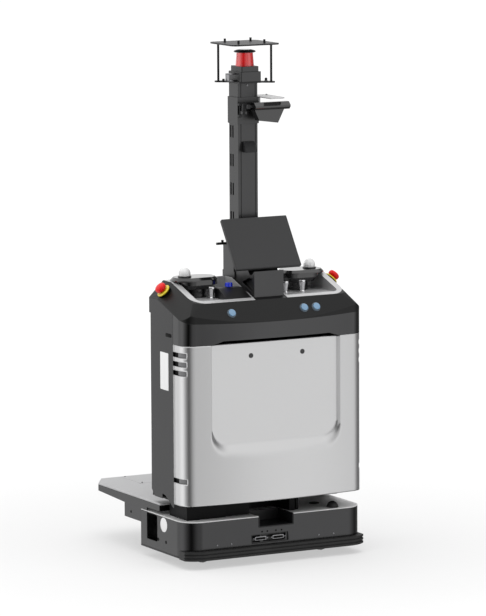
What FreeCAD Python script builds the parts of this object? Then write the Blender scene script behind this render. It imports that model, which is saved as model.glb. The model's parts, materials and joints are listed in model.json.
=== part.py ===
import FreeCAD, Part
import math
import os
import Sketcher
from FreeCAD import Vector

os.makedirs("parts", exist_ok=True)
doc = FreeCAD.newDocument("MobileRobot")

# ---------------------------------------------------------------- driving sizes
# Frame: X across, Y from the front to the back, Z up from the floor.
# The origin is on the floor under the middle of the robot. Lengths along Y that
# start "from front" are counted from the front face of the base.
sizes = {
    "overallLength": 767, "bodyWidth": 700, "cornerRadius": 68,
    # base
    "bumperProud": 22, "bumperLow": 31, "bumperHigh": 62, "bumperBack": 50, "ribGroove": 4,
    "floorLow": 34, "floorThick": 5, "baseDepth": 337, "baseWall": 4, "baseTop": 163, "topPlateThick": 3,
    "notchWidth": 136, "notchFloor": 124, "notchDepth": 110, "linerWall": 3,
    "socketLeft": -95, "socketWidth": 141, "socketLow": 70, "socketHeight": 30, "socketDepth": 26,
    "sideDoorFront": 214, "sideDoorLength": 77, "sideDoorLow": 66, "sideDoorHeight": 91,
    # deck behind the body
    "deckTop": 202, "deckThick": 6, "deckFront": 190, "deckCornerX": 50, "deckCornerY": 78,
    "skirtWall": 5, "skirtLow": 175, "stepFront": 290, "stepMiddle": 462, "stepLow": 117, "stepHigh": 166,
    "hatchWidth": 448, "hatchLength": 159, "hatchGap": 1,
    "railWidth": 50, "railPlace": 170, "railLow": 111, "railFront": 200, "railEnd": 640,
    # running gear
    "wheelRadius": 75, "wheelWidth": 40, "wheelPlace": 235, "axleFromFront": 228, "shaftRadius": 8,
    "runningGap": 0.05, "wheelWellLength": 140, "wheelWellWidth": 60,
    "motorRadius": 33, "motorLength": 118, "gearLength": 36,
    "casterRadius": 37.5, "casterWidth": 26, "casterTrail": 28, "casterTop": 104, "casterPlate": 4,
    "casterPlateSide": 84, "casterX": 232, "casterFromFront": 80, "rearCasterX": 170,
    "rearCasterFromFront": 560, "forkWall": 3, "forkGap": 1.5, "kingPinRadius": 8, "casterWell": 72,
    "batteryWidth": 270, "batteryLength": 118, "batteryHeight": 76, "batteryFromFront": 44,
    # neck between base and body
    "neckFront": 44, "neckDepth": 130, "neckWall": 4, "neckInset": 28, "neckBlock": 150, "neckGap": 8,
    "neckBeam": 24, "neckPost": 22, "neckRib": 10, "bodyLow": 218,
    "bufferSide": 109, "bufferFront": 34, "bufferRadius": 21, "discFront": 127, "discThick": 3,
    # body
    "coverDrop": 142, "coverBack": 85, "bow": 20, "bodyRadius": 48, "coverWall": 5, "frontWall": 19,
    "recessWidth": 490, "recessLow": 422, "recessRadius": 62, "recessFloor": 7, "recessSlope": 54,
    "recessSide": 8, "archRise": 12, "archSlope": 40,
    "slotHeight": 17, "slotPitch": 31, "slotDrop": 24, "slotLow": 311, "slotFront": 14,
    "panelWall": 4, "bodyBack": 252, "seam": 0.4, "toeDrop": 14, "toeLength": 8, "archLength": 86,
    "archHeight": 23, "panelLift": 6, "panelBevel": 22,
    "louvreLow": 60, "louvrePitch": 22, "louvreHeight": 8, "louvreWidth": 240, "louvreCount": 5,
    "lipBack": 262, "lipDrop": 52, "shoulder": 910, "shoulderY": 199, "slopeRise": 0.3333,
    "frameTube": 30, "frameInset": 16,
    # console
    "consoleFrontDrop": 2, "consoleFrontY": 27, "slopeStartY": 44, "slopeStartRise": 4,
    "crownY": 198, "crownRise": 55, "sideChamfer": 55, "consoleWall": 8, "hollowBackRise": 30,
    "traySide": 53, "trayInner": 62, "trayFrontRim": 14, "trayBack": 247, "trayFloorDrop": 1,
    "trayRim": 21, "trayRadius": 50, "trayWall": 2.5, "rimThick": 1.5,
    "podWidth": 168, "podDepth": 110, "podHeight": 12.5, "podRise": 57.5, "podSide": 142, "podY": 200,
    "podBevel": 9, "bowlWidth": 144, "bowlDepth": 96, "bowlShiftX": 10, "bowlShiftY": 5, "bowlDrop": 29.5,
    "bowlBevel": 16, "podFootRadius": 32, "domeRadius": 20.5, "domeShift": 36, "domeStem": 12,
    "postRadius": 7.5, "postHeight": 41, "postCapRadius": 12.5, "postFoot": 3,
    "postInnerX": 110, "postOuterX": 177,
    "postY": 130,
    "blueBaseLow": 46, "blueBaseWidth": 94, "blueBaseDepth": 96, "blueBaseHeight": 34, "blueRadius": 14,
    "blueHeight": 14, "blueTravel": 2.5,
    "buttonRadius": 12.5, "buttonRim": 15, "buttonHeight": 4, "buttonTravel": 2, "buttonStem": 6,
    "buttonReach": 12,
    "buttonBore": 60, "buttonAlong": 42, "buttonLeftX": 167, "buttonOuterX": 161, "buttonInnerX": 114,
    "stopHeadRadius": 20, "stopCollarRadius": 25, "stopCollarHeight": 4, "stopStemRadius": 9,
    "stopY": 196, "stopDown": 30, "stopTravel": 5, "stopSink": 12, "stopHeadHeight": 16,
    # pedestal, screen
    "pedestalWidth": 114, "pedestalRise": 93,
    "pocketDepth": 12, "screenWidth": 254, "screenHeight": 196, "screenThick": 16, "screenLean": 34.2,
    "screenLowY": 40, "screenRise": 105, "hingeAlong": 60, "hingeBehind": 15, "hingeRadius": 9,
    "hingePinRadius": 4, "hingeLength": 60, "earWall": 12,
    # mast
    "mastWidth": 76, "mastDepth": 66, "mastY": 224, "mastTop": 1636, "mastWall": 4, "mastGroove": 4,
    "footWall": 5, "footSide": 23, "footHeight": 114, "footSkirt": 22, "footFlare": 6,
    "leverReach": 107, "leverRadius": 4.5, "knobX": 84, "knobHeight": 16,
    "ventPitch": 99.3, "ventTop": 1467, "ventLength": 42, "ventWidth": 8, "ventSpread": 16,
    "collarLow": 1495, "collarHigh": 1587, "collarWall": 3.5, "fitGap": 0.3,
    "hoodLow": 1398, "hoodHeight": 36, "hoodWidth": 42, "hoodDepth": 26,
    # scanner
    "armZ": 1558, "panX": -28, "panOut": 24, "armRadius": 9, "barLength": 136, "barDepth": 40,
    "barHeight": 26, "barLeft": -4, "barOut": 42, "skirtDrop": 46, "skirtRise": 10, "skirtLeft": 17,
    "skirtRight": 46, "skirtEnd": 22, "tiltPinRadius": 4, "tiltPinLength": 14,
    # top sensor and its guard
    "guardPlate": 5, "guardSide": 185, "guardRadius": 22, "guardTop": 1773, "headForward": 12,
    "postX": 74, "postDY": 54,
    "guardPostRadius": 4, "earRadius": 13, "studSpacing": 100, "studRadius": 4, "studHeight": 12,
    "lidarWidth": 80, "lidarDepth": 92, "lidarBase": 34, "lidarStep": 18, "lidarInset": 6,
    "windowLow": 32, "windowHigh": 28.5, "windowHeight": 46, "windowWall": 3, "capRadius": 39,
    "capHeight": 11, "rotorRadius": 22, "rotorHeight": 36, "rotorPin": 5,
}

sheet = doc.addObject("Spreadsheet::Sheet", "Sizes")
for row, (alias, number) in enumerate(sizes.items(), 1):
    sheet.set("A%d" % row, alias)
    sheet.set("B%d" % row, str(number))
    sheet.setAlias("B%d" % row, alias)
doc.recompute()


class Size:
    """A length that knows both its number and the sheet expression it comes from."""

    def __init__(self, number, text=None):
        self.number = float(number)
        self.text = text or ("(%r)" % float(number))

    def join(self, other, sign, number):
        return Size(number, "(%s %s %s)" % (self.text, sign, other.text))

    def __add__(self, other):
        other = asSize(other)
        return self.join(other, "+", self.number + other.number)

    def __sub__(self, other):
        other = asSize(other)
        return self.join(other, "-", self.number - other.number)

    def __mul__(self, other):
        other = asSize(other)
        return self.join(other, "*", self.number * other.number)

    def __truediv__(self, other):
        other = asSize(other)
        return self.join(other, "/", self.number / other.number)

    def __radd__(self, other):
        return asSize(other) + self

    def __rsub__(self, other):
        return asSize(other) - self

    def __rmul__(self, other):
        return asSize(other) * self

    def __rtruediv__(self, other):
        return asSize(other) / self

    def __neg__(self):
        return Size(-self.number, "(0 - %s)" % self.text)


def asSize(value):
    return value if isinstance(value, Size) else Size(value)


def root(value):
    return Size(math.sqrt(value.number), "sqrt(%s)" % value.text)


def sine(angle):
    return Size(math.sin(math.radians(angle.number)), "sin(%s)" % angle.text)


def cosine(angle):
    return Size(math.cos(math.radians(angle.number)), "cos(%s)" % angle.text)


class Sheet:
    """Reads the driving sizes by name: at.bodyWidth and so on."""

    def __getattr__(self, alias):
        return Size(float(sheet.get(alias)), "Sizes.%s" % alias)


at = Sheet()
nodes = []


def bind(obj, path, value):
    obj.setExpression(path, asSize(value).text)


def place(obj, x=0, y=0, z=0):
    for path, value in zip("xyz", (x, y, z)):
        bind(obj, ".Placement.Base." + path, value)
    return obj


def piece(obj, label):
    """Names a finished sub-part and keeps it for the export."""
    obj.Label = label
    nodes.append(obj)
    return obj


# ---------------------------------------------------------------- primitives and booleans
def box(x0, x1, y0, y1, z0, z1):
    solid = doc.addObject("Part::Box", "Block")
    bind(solid, "Length", x1 - x0 if isinstance(x1, Size) else asSize(x1) - x0)
    bind(solid, "Width", asSize(y1) - y0)
    bind(solid, "Height", asSize(z1) - z0)
    return place(solid, x0, y0, z0)


turns = {
    "z": FreeCAD.Rotation(),
    "x": FreeCAD.Rotation(Vector(0, 1, 0), 90),
    "y": FreeCAD.Rotation(Vector(1, 0, 0), -90),
}


def turned(solid, turn):
    solid.Placement.Rotation = turns[turn] if isinstance(turn, str) else turn
    return solid


def cylinder(radius, length, x=0, y=0, z=0, turn="z"):
    solid = turned(doc.addObject("Part::Cylinder", "Round"), turn)
    bind(solid, "Radius", radius)
    bind(solid, "Height", length)
    return place(solid, x, y, z)


def cone(radius1, radius2, length, x=0, y=0, z=0, turn="z"):
    solid = turned(doc.addObject("Part::Cone", "Taper"), turn)
    bind(solid, "Radius1", radius1)
    bind(solid, "Radius2", radius2)
    bind(solid, "Height", length)
    return place(solid, x, y, z)


def ball(radius, x=0, y=0, z=0):
    solid = doc.addObject("Part::Sphere", "Ball")
    bind(solid, "Radius", radius)
    return place(solid, x, y, z)


def fuse(*parts):
    if len(parts) == 1:
        return parts[0]
    joined = doc.addObject("Part::MultiFuse", "Joined")
    joined.Shapes = list(parts)
    joined.Refine = True
    return joined


def cut(base, *tools):
    result = doc.addObject("Part::Cut", "Cut")
    result.Base = base
    result.Tool = fuse(*tools)
    result.Refine = True
    return result


def common(base, tool):
    result = doc.addObject("Part::Common", "Shared")
    result.Base = base
    result.Tool = tool
    result.Refine = True
    return result


def group(*parts):
    """Separate solids of one kind that share a node."""
    whole = doc.addObject("Part::Compound", "Set")
    whole.Links = list(parts)
    return whole


def mirrored(source):
    copy = doc.addObject("Part::Mirroring", "Twin")
    copy.Source = source
    copy.Normal = Vector(1, 0, 0)
    return copy


def softened(base, radius, chosen, kind="Part::Fillet"):
    """Rounds (or bevels) the edges of a Part object that the test picks."""
    doc.recompute()
    result = doc.addObject(kind, "Softened")
    result.Base = base
    size = asSize(radius).number
    result.Edges = [(i, size, size) for i, edge in enumerate(base.Shape.Edges, 1) if chosen(edge)]
    return result


# ---------------------------------------------------------------- sketched bodies
def newBody(x=0, y=0, z=0, rotation=None):
    owner = doc.addObject("PartDesign::Body", "Body")
    if rotation:
        owner.Placement.Rotation = rotation
    return place(owner, x, y, z)


def sketch(owner, role, *loops, lift=0):
    """Each loop is ("round", x, y, radius) or a list of corners (x, y) joined by lines;
    a third value on a corner is the radius of an arc that leads from it to the next one,
    positive when the arc bulges to the left of that way."""
    drawing = owner.newObject("Sketcher::SketchObject", "Sketch")
    plane = [f for f in owner.Origin.OriginFeatures if f.Role == role][0]
    drawing.AttachmentSupport = [(plane, "")]
    drawing.MapMode = "FlatFace"
    bind(drawing, ".AttachmentOffset.Base.z", lift)
    for loop in loops:
        if loop[0] == "round":
            addCircle(drawing, *loop[1:])
        else:
            addLoop(drawing, loop)
    return drawing


def pin(drawing, geometry, end, x, y):
    for kind, value in (("DistanceX", asSize(x)), ("DistanceY", asSize(y))):
        index = drawing.addConstraint(Sketcher.Constraint(kind, geometry, end, value.number))
        drawing.setExpression("Constraints[%d]" % index, value.text)


def addCircle(drawing, x, y, radius):
    x, y, radius = asSize(x), asSize(y), asSize(radius)
    centre = Vector(x.number, y.number, 0)
    geometry = drawing.addGeometry(Part.Circle(centre, Vector(0, 0, 1), radius.number))
    pin(drawing, geometry, 3, x, y)
    index = drawing.addConstraint(Sketcher.Constraint("Radius", geometry, radius.number))
    drawing.setExpression("Constraints[%d]" % index, radius.text)


def addLoop(drawing, corners):
    points = [Vector(asSize(c[0]).number, asSize(c[1]).number, 0) for c in corners]
    ends = []
    for i, corner in enumerate(corners):
        first, last = points[i], points[(i + 1) % len(points)]
        if len(corner) == 2:
            geometry = drawing.addGeometry(Part.LineSegment(first, last))
        else:
            radius = asSize(corner[2])
            reach = (last - first).Length / 2
            size = abs(radius.number)
            side = Vector(first.y - last.y, last.x - first.x, 0).normalize()
            sag = size - math.sqrt(max(size ** 2 - reach ** 2, 0))
            middle = (first + last) / 2 + side * math.copysign(sag, radius.number)
            geometry = drawing.addGeometry(Part.Arc(first, middle, last))
            index = drawing.addConstraint(Sketcher.Constraint("Radius", geometry, size))
            text = radius.text if radius.number > 0 else (-radius).text
            drawing.setExpression("Constraints[%d]" % index, text)
        ahead = (drawing.getPoint(geometry, 1) - first).Length < 1e-6
        ends.append((geometry, 1, 2) if ahead else (geometry, 2, 1))
    for i, (geometry, start, end) in enumerate(ends):
        after, afterStart, _ = ends[(i + 1) % len(ends)]
        drawing.addConstraint(Sketcher.Constraint("Coincident", geometry, end, after, afterStart))
        pin(drawing, geometry, start, corners[i][0], corners[i][1])


def pad(owner, drawing, length, back=False, middle=False):
    feature = owner.newObject("PartDesign::Pad", "Pad")
    feature.Profile = drawing
    bind(feature, "Length", length)
    feature.Reversed = back
    feature.Midplane = middle
    drawing.Visibility = False
    return feature


def pocket(owner, drawing, length, back=False, middle=False):
    feature = owner.newObject("PartDesign::Pocket", "Pocket")
    feature.Profile = drawing
    bind(feature, "Length", length)
    feature.Reversed = back
    feature.Midplane = middle
    return feature


def revolve(owner, drawing):
    feature = owner.newObject("PartDesign::Revolution", "Revolution")
    feature.Profile = drawing
    feature.ReferenceAxis = (drawing, ["V_Axis"])
    feature.Angle = 360
    return feature


def finish(owner, radius, chosen, kind="Fillet"):
    """Rounds or bevels the edges of a body's last feature that the test picks."""
    doc.recompute()
    last = owner.Tip
    names = ["Edge%d" % i for i, edge in enumerate(last.Shape.Edges, 1) if chosen(edge)]
    feature = owner.newObject("PartDesign::" + kind, kind)
    feature.Base = (last, names)
    bind(feature, "Radius" if kind == "Fillet" else "Size", radius)
    return feature


def upright(edge):
    ends = edge.Vertexes
    return len(ends) == 2 and abs(abs(ends[1].Z - ends[0].Z) - edge.Length) < 1e-6


# ---------------------------------------------------------------- shared places
half = at.bodyWidth / 2
front = at.bumperProud - at.overallLength / 2
rear = at.overallLength / 2


def fromFront(length):
    return front + length


floorTop = at.floorLow + at.floorThick
panTop = at.baseTop - at.topPlateThick
axleY = fromFront(at.axleFromFront)
mastY = fromFront(at.mastY)
headY = fromFront(at.mastY - at.headForward)
# heights that follow the shoulder, where the side panels meet the console
coverTop = at.shoulder - at.coverDrop
slotTop = coverTop - at.slotDrop
lipLow = at.shoulder - at.lipDrop
consoleFrontTop = at.shoulder - at.consoleFrontDrop
slopeStartZ = at.shoulder + at.slopeStartRise
crownZ = at.shoulder + at.crownRise
trayFloor = at.shoulder - at.trayFloorDrop
podLow = at.shoulder + at.podRise
pedestalTop = at.shoulder + at.pedestalRise
screenLowZ = at.shoulder + at.screenRise
footTop = crownZ + at.footHeight
# places across that follow the body's width
trayOuter = half - at.traySide
podX = half - at.podSide


def bowRadius(halfChord, sag):
    return (halfChord * halfChord + sag * sag) / (2 * sag)


def frontOutline(x, yBack, yCorner, radius, sag):
    """Plan outline with rounded front corners and a front face that bows forwards."""
    straight = x - radius
    return [
        (-x, yBack), (-x, yCorner + radius, -radius), (-straight, yCorner, -bowRadius(straight, sag)),
        (straight, yCorner, -radius), (x, yCorner + radius), (x, yBack),
    ]


# ---------------------------------------------------------------- base
def baseOutline(inset, back):
    x, r = half - inset, at.cornerRadius - inset
    y = front + inset
    return [(-x, back), (-x, y + r, -r), (-(x - r), y), (x - r, y, -r), (x, y + r), (x, back)]


def makeFloorPlate():
    body = newBody(0, 0, at.floorLow)
    back = fromFront(at.baseDepth)
    wells = []
    for side in (-1, 1):
        x, w, l = side * at.wheelPlace, at.wheelWellWidth / 2, at.wheelWellLength / 2
        wells.append([(x - w, axleY - l), (x + w, axleY - l), (x + w, axleY + l), (x - w, axleY + l)])
        x, y, c = side * at.casterX, fromFront(at.casterFromFront), at.casterWell
        wells.append([(x - c, y - c), (x + c, y - c), (x + c, y + c), (x - c, y + c)])
    drawing = sketch(body, "XY_Plane", baseOutline(asSize(0), back), *wells)
    pad(body, drawing, at.floorThick)
    return piece(body, "floor_plate")


def makeBasePan():
    body = newBody()
    back = fromFront(at.baseDepth)
    inner = baseOutline(at.baseWall, back - at.baseWall)
    pad(body, sketch(body, "XY_Plane", baseOutline(asSize(0), back), inner, lift=floorTop), panTop - floorTop)
    notch, w = at.notchWidth / 2, at.baseWall * 3
    pocket(body, sketch(body, "XZ_Plane", [
        (-notch, at.notchFloor), (notch, at.notchFloor), (notch, panTop + w), (-notch, panTop + w),
    ], lift=-front - w), w * 2, back=True)
    x0, x1 = at.socketLeft, at.socketLeft + at.socketWidth
    z0, z1 = at.socketLow, at.socketLow + at.socketHeight
    pocket(body, sketch(body, "XZ_Plane", [(x0, z0), (x1, z0), (x1, z1), (x0, z1)], lift=-front - w),
           w * 2, back=True)
    y0, y1 = fromFront(at.sideDoorFront), fromFront(at.sideDoorFront + at.sideDoorLength)
    z0, z1 = at.sideDoorLow, at.sideDoorLow + at.sideDoorHeight
    pocket(body, sketch(body, "YZ_Plane", [(y0, z0), (y1, z0), (y1, z1), (y0, z1)]),
           at.bodyWidth * 2, middle=True)
    return piece(body, "base_pan")


def makeTopPlate():
    body = newBody(0, 0, panTop)
    drawing = sketch(body, "XY_Plane", baseOutline(asSize(0), fromFront(at.baseDepth)))
    pad(body, drawing, at.topPlateThick)
    notch, y = at.notchWidth / 2, fromFront(at.notchDepth)
    reach = front - at.cornerRadius
    pocket(body, sketch(body, "XY_Plane", [(-notch, reach), (notch, reach), (notch, y), (-notch, y)]),
           at.topPlateThick, back=True)
    return piece(body, "base_top_plate")


def makeNotchLiner():
    x, w = at.notchWidth / 2, at.linerWall
    y0, y1 = front, fromFront(at.notchDepth)
    outer = box(-x, x, y0, y1, at.notchFloor, at.baseTop)
    inner = box(-x + w, x - w, y0 - w, y1 - w, at.notchFloor + w, at.baseTop + w)
    return piece(cut(outer, inner), "notch_liner")


def makeBumper():
    """A rubber strip with three ribs, wrapped round the front and both corners."""
    body = newBody()
    back = fromFront(at.bumperBack)
    ribs = (at.bumperHigh - at.bumperLow - 2 * at.ribGroove) / 3
    z = at.bumperLow
    band = uBand(at.bumperProud, back)
    for level in range(3):
        pad(body, sketch(body, "XY_Plane", band, lift=z), ribs)
        z = z + ribs
        if level < 2:
            groove = uBand(at.bumperProud - at.ribGroove, back)
            pad(body, sketch(body, "XY_Plane", groove, lift=z), at.ribGroove)
            z = z + at.ribGroove
    return piece(body, "bumper_strip")


def uBand(proud, back):
    """Plan outline of a band that stands proud of the base's front and ends flush with its sides."""
    r, R, y = at.cornerRadius, at.cornerRadius + proud, front
    straight = half - r
    flush = y + r - root(R * R - r * r)
    end = straight + root(r * r - (y + r - back) * (y + r - back))
    return [
        (-half, back), (-half, flush, -R), (-straight, y - proud), (straight, y - proud, -R),
        (half, flush), (half, back), (end, back, r), (straight, y), (-straight, y, r), (-end, back),
    ]


def makeSocketBlock():
    """The charging and data socket: a D-shaped mouth and a small port beside it."""
    x0, x1 = at.socketLeft, at.socketLeft + at.socketWidth
    z0, z1 = at.socketLow, at.socketLow + at.socketHeight
    y0, y1 = front + at.baseWall, front + at.baseWall + at.socketDepth
    rim = at.linerWall
    block = box(x0 - rim, x1 + rim, y0, y1, z0 - rim, z1 + rim)
    portEnd = x0 + 0.24 * at.socketWidth
    port = box(x0 + rim, portEnd, y0 - rim, y0 + 0.6 * at.socketDepth, z0 + rim, z1 - rim)
    body = newBody()
    low, high = portEnd + 2 * rim, x1 - 2 * rim
    taper = 0.2 * at.socketHeight
    pad(body, sketch(body, "XZ_Plane", [
        (low + taper, z0 + rim), (high - taper, z0 + rim), (high, z1 - rim), (low, z1 - rim),
    ], lift=-y0 - 0.6 * at.socketDepth), at.socketDepth)
    tongue = box(low + 2 * taper, high - 2 * taper, y0 + 2 * rim, y0 + 0.8 * at.socketDepth,
                 (z0 + z1) / 2 - rim, (z0 + z1) / 2 + rim)
    return piece(fuse(cut(block, port, body), tongue), "dock_socket")


def makeBattery():
    x, y = at.batteryWidth / 2, fromFront(at.batteryFromFront)
    case = box(-x, x, y, y + at.batteryLength, floorTop, floorTop + at.batteryHeight)
    return piece(softened(case, 6, upright), "battery_pack")


# ---------------------------------------------------------------- deck
def deckOutline(inset, frontY):
    x, y = half - inset, rear - inset
    cx, cy = at.deckCornerX, at.deckCornerY
    return [(-x, frontY), (x, frontY), (x, y - cy), (x - cx, y), (-(x - cx), y), (-x, y - cy)]


def makeDeck():
    body = newBody(0, 0, at.deckTop - at.deckThick)
    pad(body, sketch(body, "XY_Plane", deckOutline(asSize(0), fromFront(at.deckFront))), at.deckThick)
    x, y = at.hatchWidth / 2 + at.hatchGap, rear - at.hatchLength - at.hatchGap
    pocket(body, sketch(body, "XY_Plane", [(-x, y), (x, y), (x, rear + x), (-x, rear + x)]),
           at.deckThick, back=True)
    piece(body, "deck_plate")
    hatch = newBody(0, 0, at.deckTop - at.deckThick)
    x, y = at.hatchWidth / 2, rear - at.hatchLength
    pad(hatch, sketch(hatch, "XY_Plane", [(-x, y), (x, y), (x, rear), (-x, rear)]), at.deckThick)
    finish(hatch, 20, lambda edge: upright(edge) and edge.Vertexes[0].Y < rear.number - 1)
    return piece(hatch, "deck_hatch")


def makeDeckSkirt():
    """The dark edge below the deck; its side plates step down to meet the base."""
    body = newBody()
    top = at.deckTop - at.deckThick
    y0 = fromFront(at.deckFront) + at.skirtWall
    ring = [deckOutline(asSize(0), y0), deckOutline(at.skirtWall, y0 + at.skirtWall)]
    pad(body, sketch(body, "XY_Plane", *ring, lift=at.skirtLow), top - at.skirtLow)
    steps = [
        (fromFront(at.stepFront), at.baseTop), (fromFront(at.baseDepth), at.baseTop),
        (fromFront(at.baseDepth), at.stepLow), (fromFront(at.stepMiddle), at.stepLow),
        (fromFront(at.stepMiddle), at.stepHigh), (rear - at.deckCornerY, at.skirtLow),
        (fromFront(at.stepFront), at.skirtLow),
    ]
    for lift in (half - at.skirtWall, -half):
        pad(body, sketch(body, "YZ_Plane", steps, lift=lift), at.skirtWall)
    return piece(body, "deck_skirt")


def makeRearFrame():
    """Two rails that carry the deck and the rear casters, with a cross member."""
    top, w = at.deckTop - at.deckThick, at.railWidth / 2
    profile = [
        (fromFront(at.railFront), at.baseTop), (fromFront(at.baseDepth), at.baseTop),
        (fromFront(at.baseDepth), at.railLow), (fromFront(at.railEnd), at.railLow),
        (rear - at.skirtWall * 2, at.skirtLow), (rear - at.skirtWall * 2, top),
        (fromFront(at.railFront), top),
    ]
    body = newBody()
    for side in (-1, 1):
        pad(body, sketch(body, "YZ_Plane", profile, lift=side * at.railPlace - w), at.railWidth)
    y = rear - at.hatchLength - at.hatchGap
    pad(body, sketch(body, "XY_Plane", [
        (-half + at.skirtWall, y - w), (half - at.skirtWall, y - w),
        (half - at.skirtWall, y + w), (-half + at.skirtWall, y + w),
    ], lift=at.skirtLow), top - at.skirtLow)
    return piece(body, "rear_frame")


# ---------------------------------------------------------------- running gear
def makeWheel(side, name):
    """Drive wheel: a dished hub with a bonded tread, turned about its axle."""
    r, w = at.wheelRadius, at.wheelWidth / 2
    bore = at.shaftRadius + at.runningGap
    body = newBody(side * at.wheelPlace, axleY, r, FreeCAD.Rotation(Vector(0, 1, 0), -90 * side))
    hub, dish = bore + 14, r - 20
    pad_ = sketch(body, "XZ_Plane", [
        (bore, -w), (hub, -w), (hub + 6, -w + 10), (dish - 4, -w + 10), (dish, -w), (r - 3, -w),
        (r, -w + 4), (r, w - 4), (r - 3, w), (dish, w), (dish - 4, w - 10), (hub + 6, w - 10),
        (hub, w), (bore, w),
    ])
    revolve(body, pad_)
    return piece(body, name)


def makeDriveMotors():
    """Gear motors, their feet on the floor plate and their shafts in the wheels."""
    units = []
    for side in (-1, 1):
        inner = at.wheelPlace - at.wheelWidth / 2 - 4
        z, turn = at.wheelRadius, FreeCAD.Rotation(Vector(0, 1, 0), 90 * side)
        gear = cylinder(at.motorRadius, at.gearLength, side * (inner - at.gearLength), axleY, z, turn)
        motor = cylinder(at.motorRadius - 4, at.motorLength, side * (inner - at.gearLength - at.motorLength),
                         axleY, z, turn)
        shaft = cylinder(at.shaftRadius, at.wheelWidth + 4 + 3, side * inner, axleY, z, turn)
        x0, x1 = side * (inner - at.gearLength), side * inner
        low, high = (x0, x1) if side > 0 else (x1, x0)
        foot = box(low, high, axleY - at.motorRadius, axleY + at.motorRadius, floorTop, z)
        units.append(fuse(gear, motor, shaft, foot))
    return piece(group(*units), "drive_motors")


casterPlaces = {
    "front_left": (-1 * at.casterX, fromFront(at.casterFromFront)),
    "front_right": (at.casterX, fromFront(at.casterFromFront)),
    "rear_left": (-1 * at.rearCasterX, fromFront(at.rearCasterFromFront)),
    "rear_right": (at.rearCasterX, fromFront(at.rearCasterFromFront)),
}


def makeCasterPlates():
    """Top plates with king pins; the front pair stands on legs over the floor plate."""
    plates = []
    s, t = at.casterPlateSide / 2, at.casterPlate
    for name, (x, y) in casterPlaces.items():
        parts = [cylinder(at.kingPinRadius, 14, x, y, at.casterTop - 14)]
        if name.startswith("front"):
            reach = at.casterWell + 6
            parts.append(box(x - reach, x + reach, y - s, y + s, at.casterTop, at.casterTop + t))
            for leg in (x - reach, x + reach - t):
                parts.append(box(leg, leg + t, y - s, y + s, floorTop, at.casterTop + t))
        else:
            parts.append(box(x - s, x + s, y - s, y + s, at.casterTop, at.railLow))
        plates.append(fuse(*parts))
    return piece(group(*plates), "caster_plates")


def makeCaster(name, x, y):
    """A swivel fork round its king pin and the wheel that trails behind it."""
    top, r = at.casterTop - 1.5, at.casterRadius
    inner = at.casterWidth / 2 + at.forkGap
    outer, wall = inner + at.forkWall, at.forkWall
    wheelY = y + at.casterTrail
    crown = top - 12
    swivel = cut(cylinder(24, 12, x, y, crown),
                 cylinder(at.kingPinRadius + at.runningGap, 14, x, y, crown - 1))
    bridge = box(x - outer, x + outer, y - 18, wheelY + 8, crown - 5, crown)
    legs = []
    for side in (-1, 1):
        body = newBody()
        low = x + (inner if side > 0 else -outer)
        pad(body, sketch(body, "YZ_Plane", [
            (y - 18, crown - 5), (wheelY - 10, r - 6), (wheelY - 6, r - 11), (wheelY + 6, r - 11),
            (wheelY + 10, r - 6), (wheelY + 8, crown - 5),
        ], lift=low), wall)
        legs.append(body)
    axle = cylinder(4, 2 * outer + 4, x - outer - 2, wheelY, r, "x")
    bridge = cut(bridge, cylinder(at.kingPinRadius + 2, 20, x, y, crown - 10))
    piece(fuse(swivel, bridge, *legs, axle), "caster_fork_" + name)
    bore = 4 + at.runningGap
    wheel = newBody(x, wheelY, r, FreeCAD.Rotation(Vector(0, 1, 0), 90))
    w = at.casterWidth / 2
    revolve(wheel, sketch(wheel, "XZ_Plane", [
        (bore, -w), (14, -w), (18, -w + 4), (r - 10, -w + 4), (r - 7, -w + 1), (r - 2, -w + 3),
        (r, 0), (r - 2, w - 3), (r - 7, w - 1), (r - 10, w - 4), (18, w - 4), (14, w), (bore, w),
    ]))
    piece(wheel, "caster_wheel_" + name)


# ---------------------------------------------------------------- neck
def makeNeck():
    """Blocks and a bracket that lift the body off the base, open behind the notch."""
    y0, y1 = fromFront(at.neckFront), fromFront(at.neckFront + at.neckDepth)
    z0, z1 = at.baseTop, at.bodyLow
    notch = at.notchWidth / 2
    edge, gap, w = half - at.neckInset, at.neckGap, at.neckWall
    inner = -edge + at.neckBlock
    left = box(-edge, inner, y0, y1, z0, z1)
    plate = box(inner, -notch - gap, y0 + gap, y0 + gap + w, z0, z1)
    cheek = box(-notch - gap - w, -notch - gap, y0 + gap, y1, z0, z1)
    first = notch + gap
    second = first + at.neckPost + gap
    posts = [box(first, first + at.neckPost, y0, y1, z0, z1),
             box(second, second + at.neckRib, y0 + gap, y1, z0, z1)]
    beam = box(-edge, second + at.neckRib, y1 - at.neckBeam, y1, z0, z1)
    return piece(fuse(left, plate, cheek, *posts, beam), "neck_frame")


def makeBuffers():
    x, y, z, r = half - at.bufferSide, fromFront(at.bufferFront), at.baseTop, at.bufferRadius
    dome = common(ball(r, x, y, z), box(x - r, x + r, y - r, y + r, z, z + r))
    disc = cone(r - 2, r - 4, at.discThick, x - r, fromFront(at.discFront), z)
    return piece(group(dome, disc), "rubber_buffers")


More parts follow.
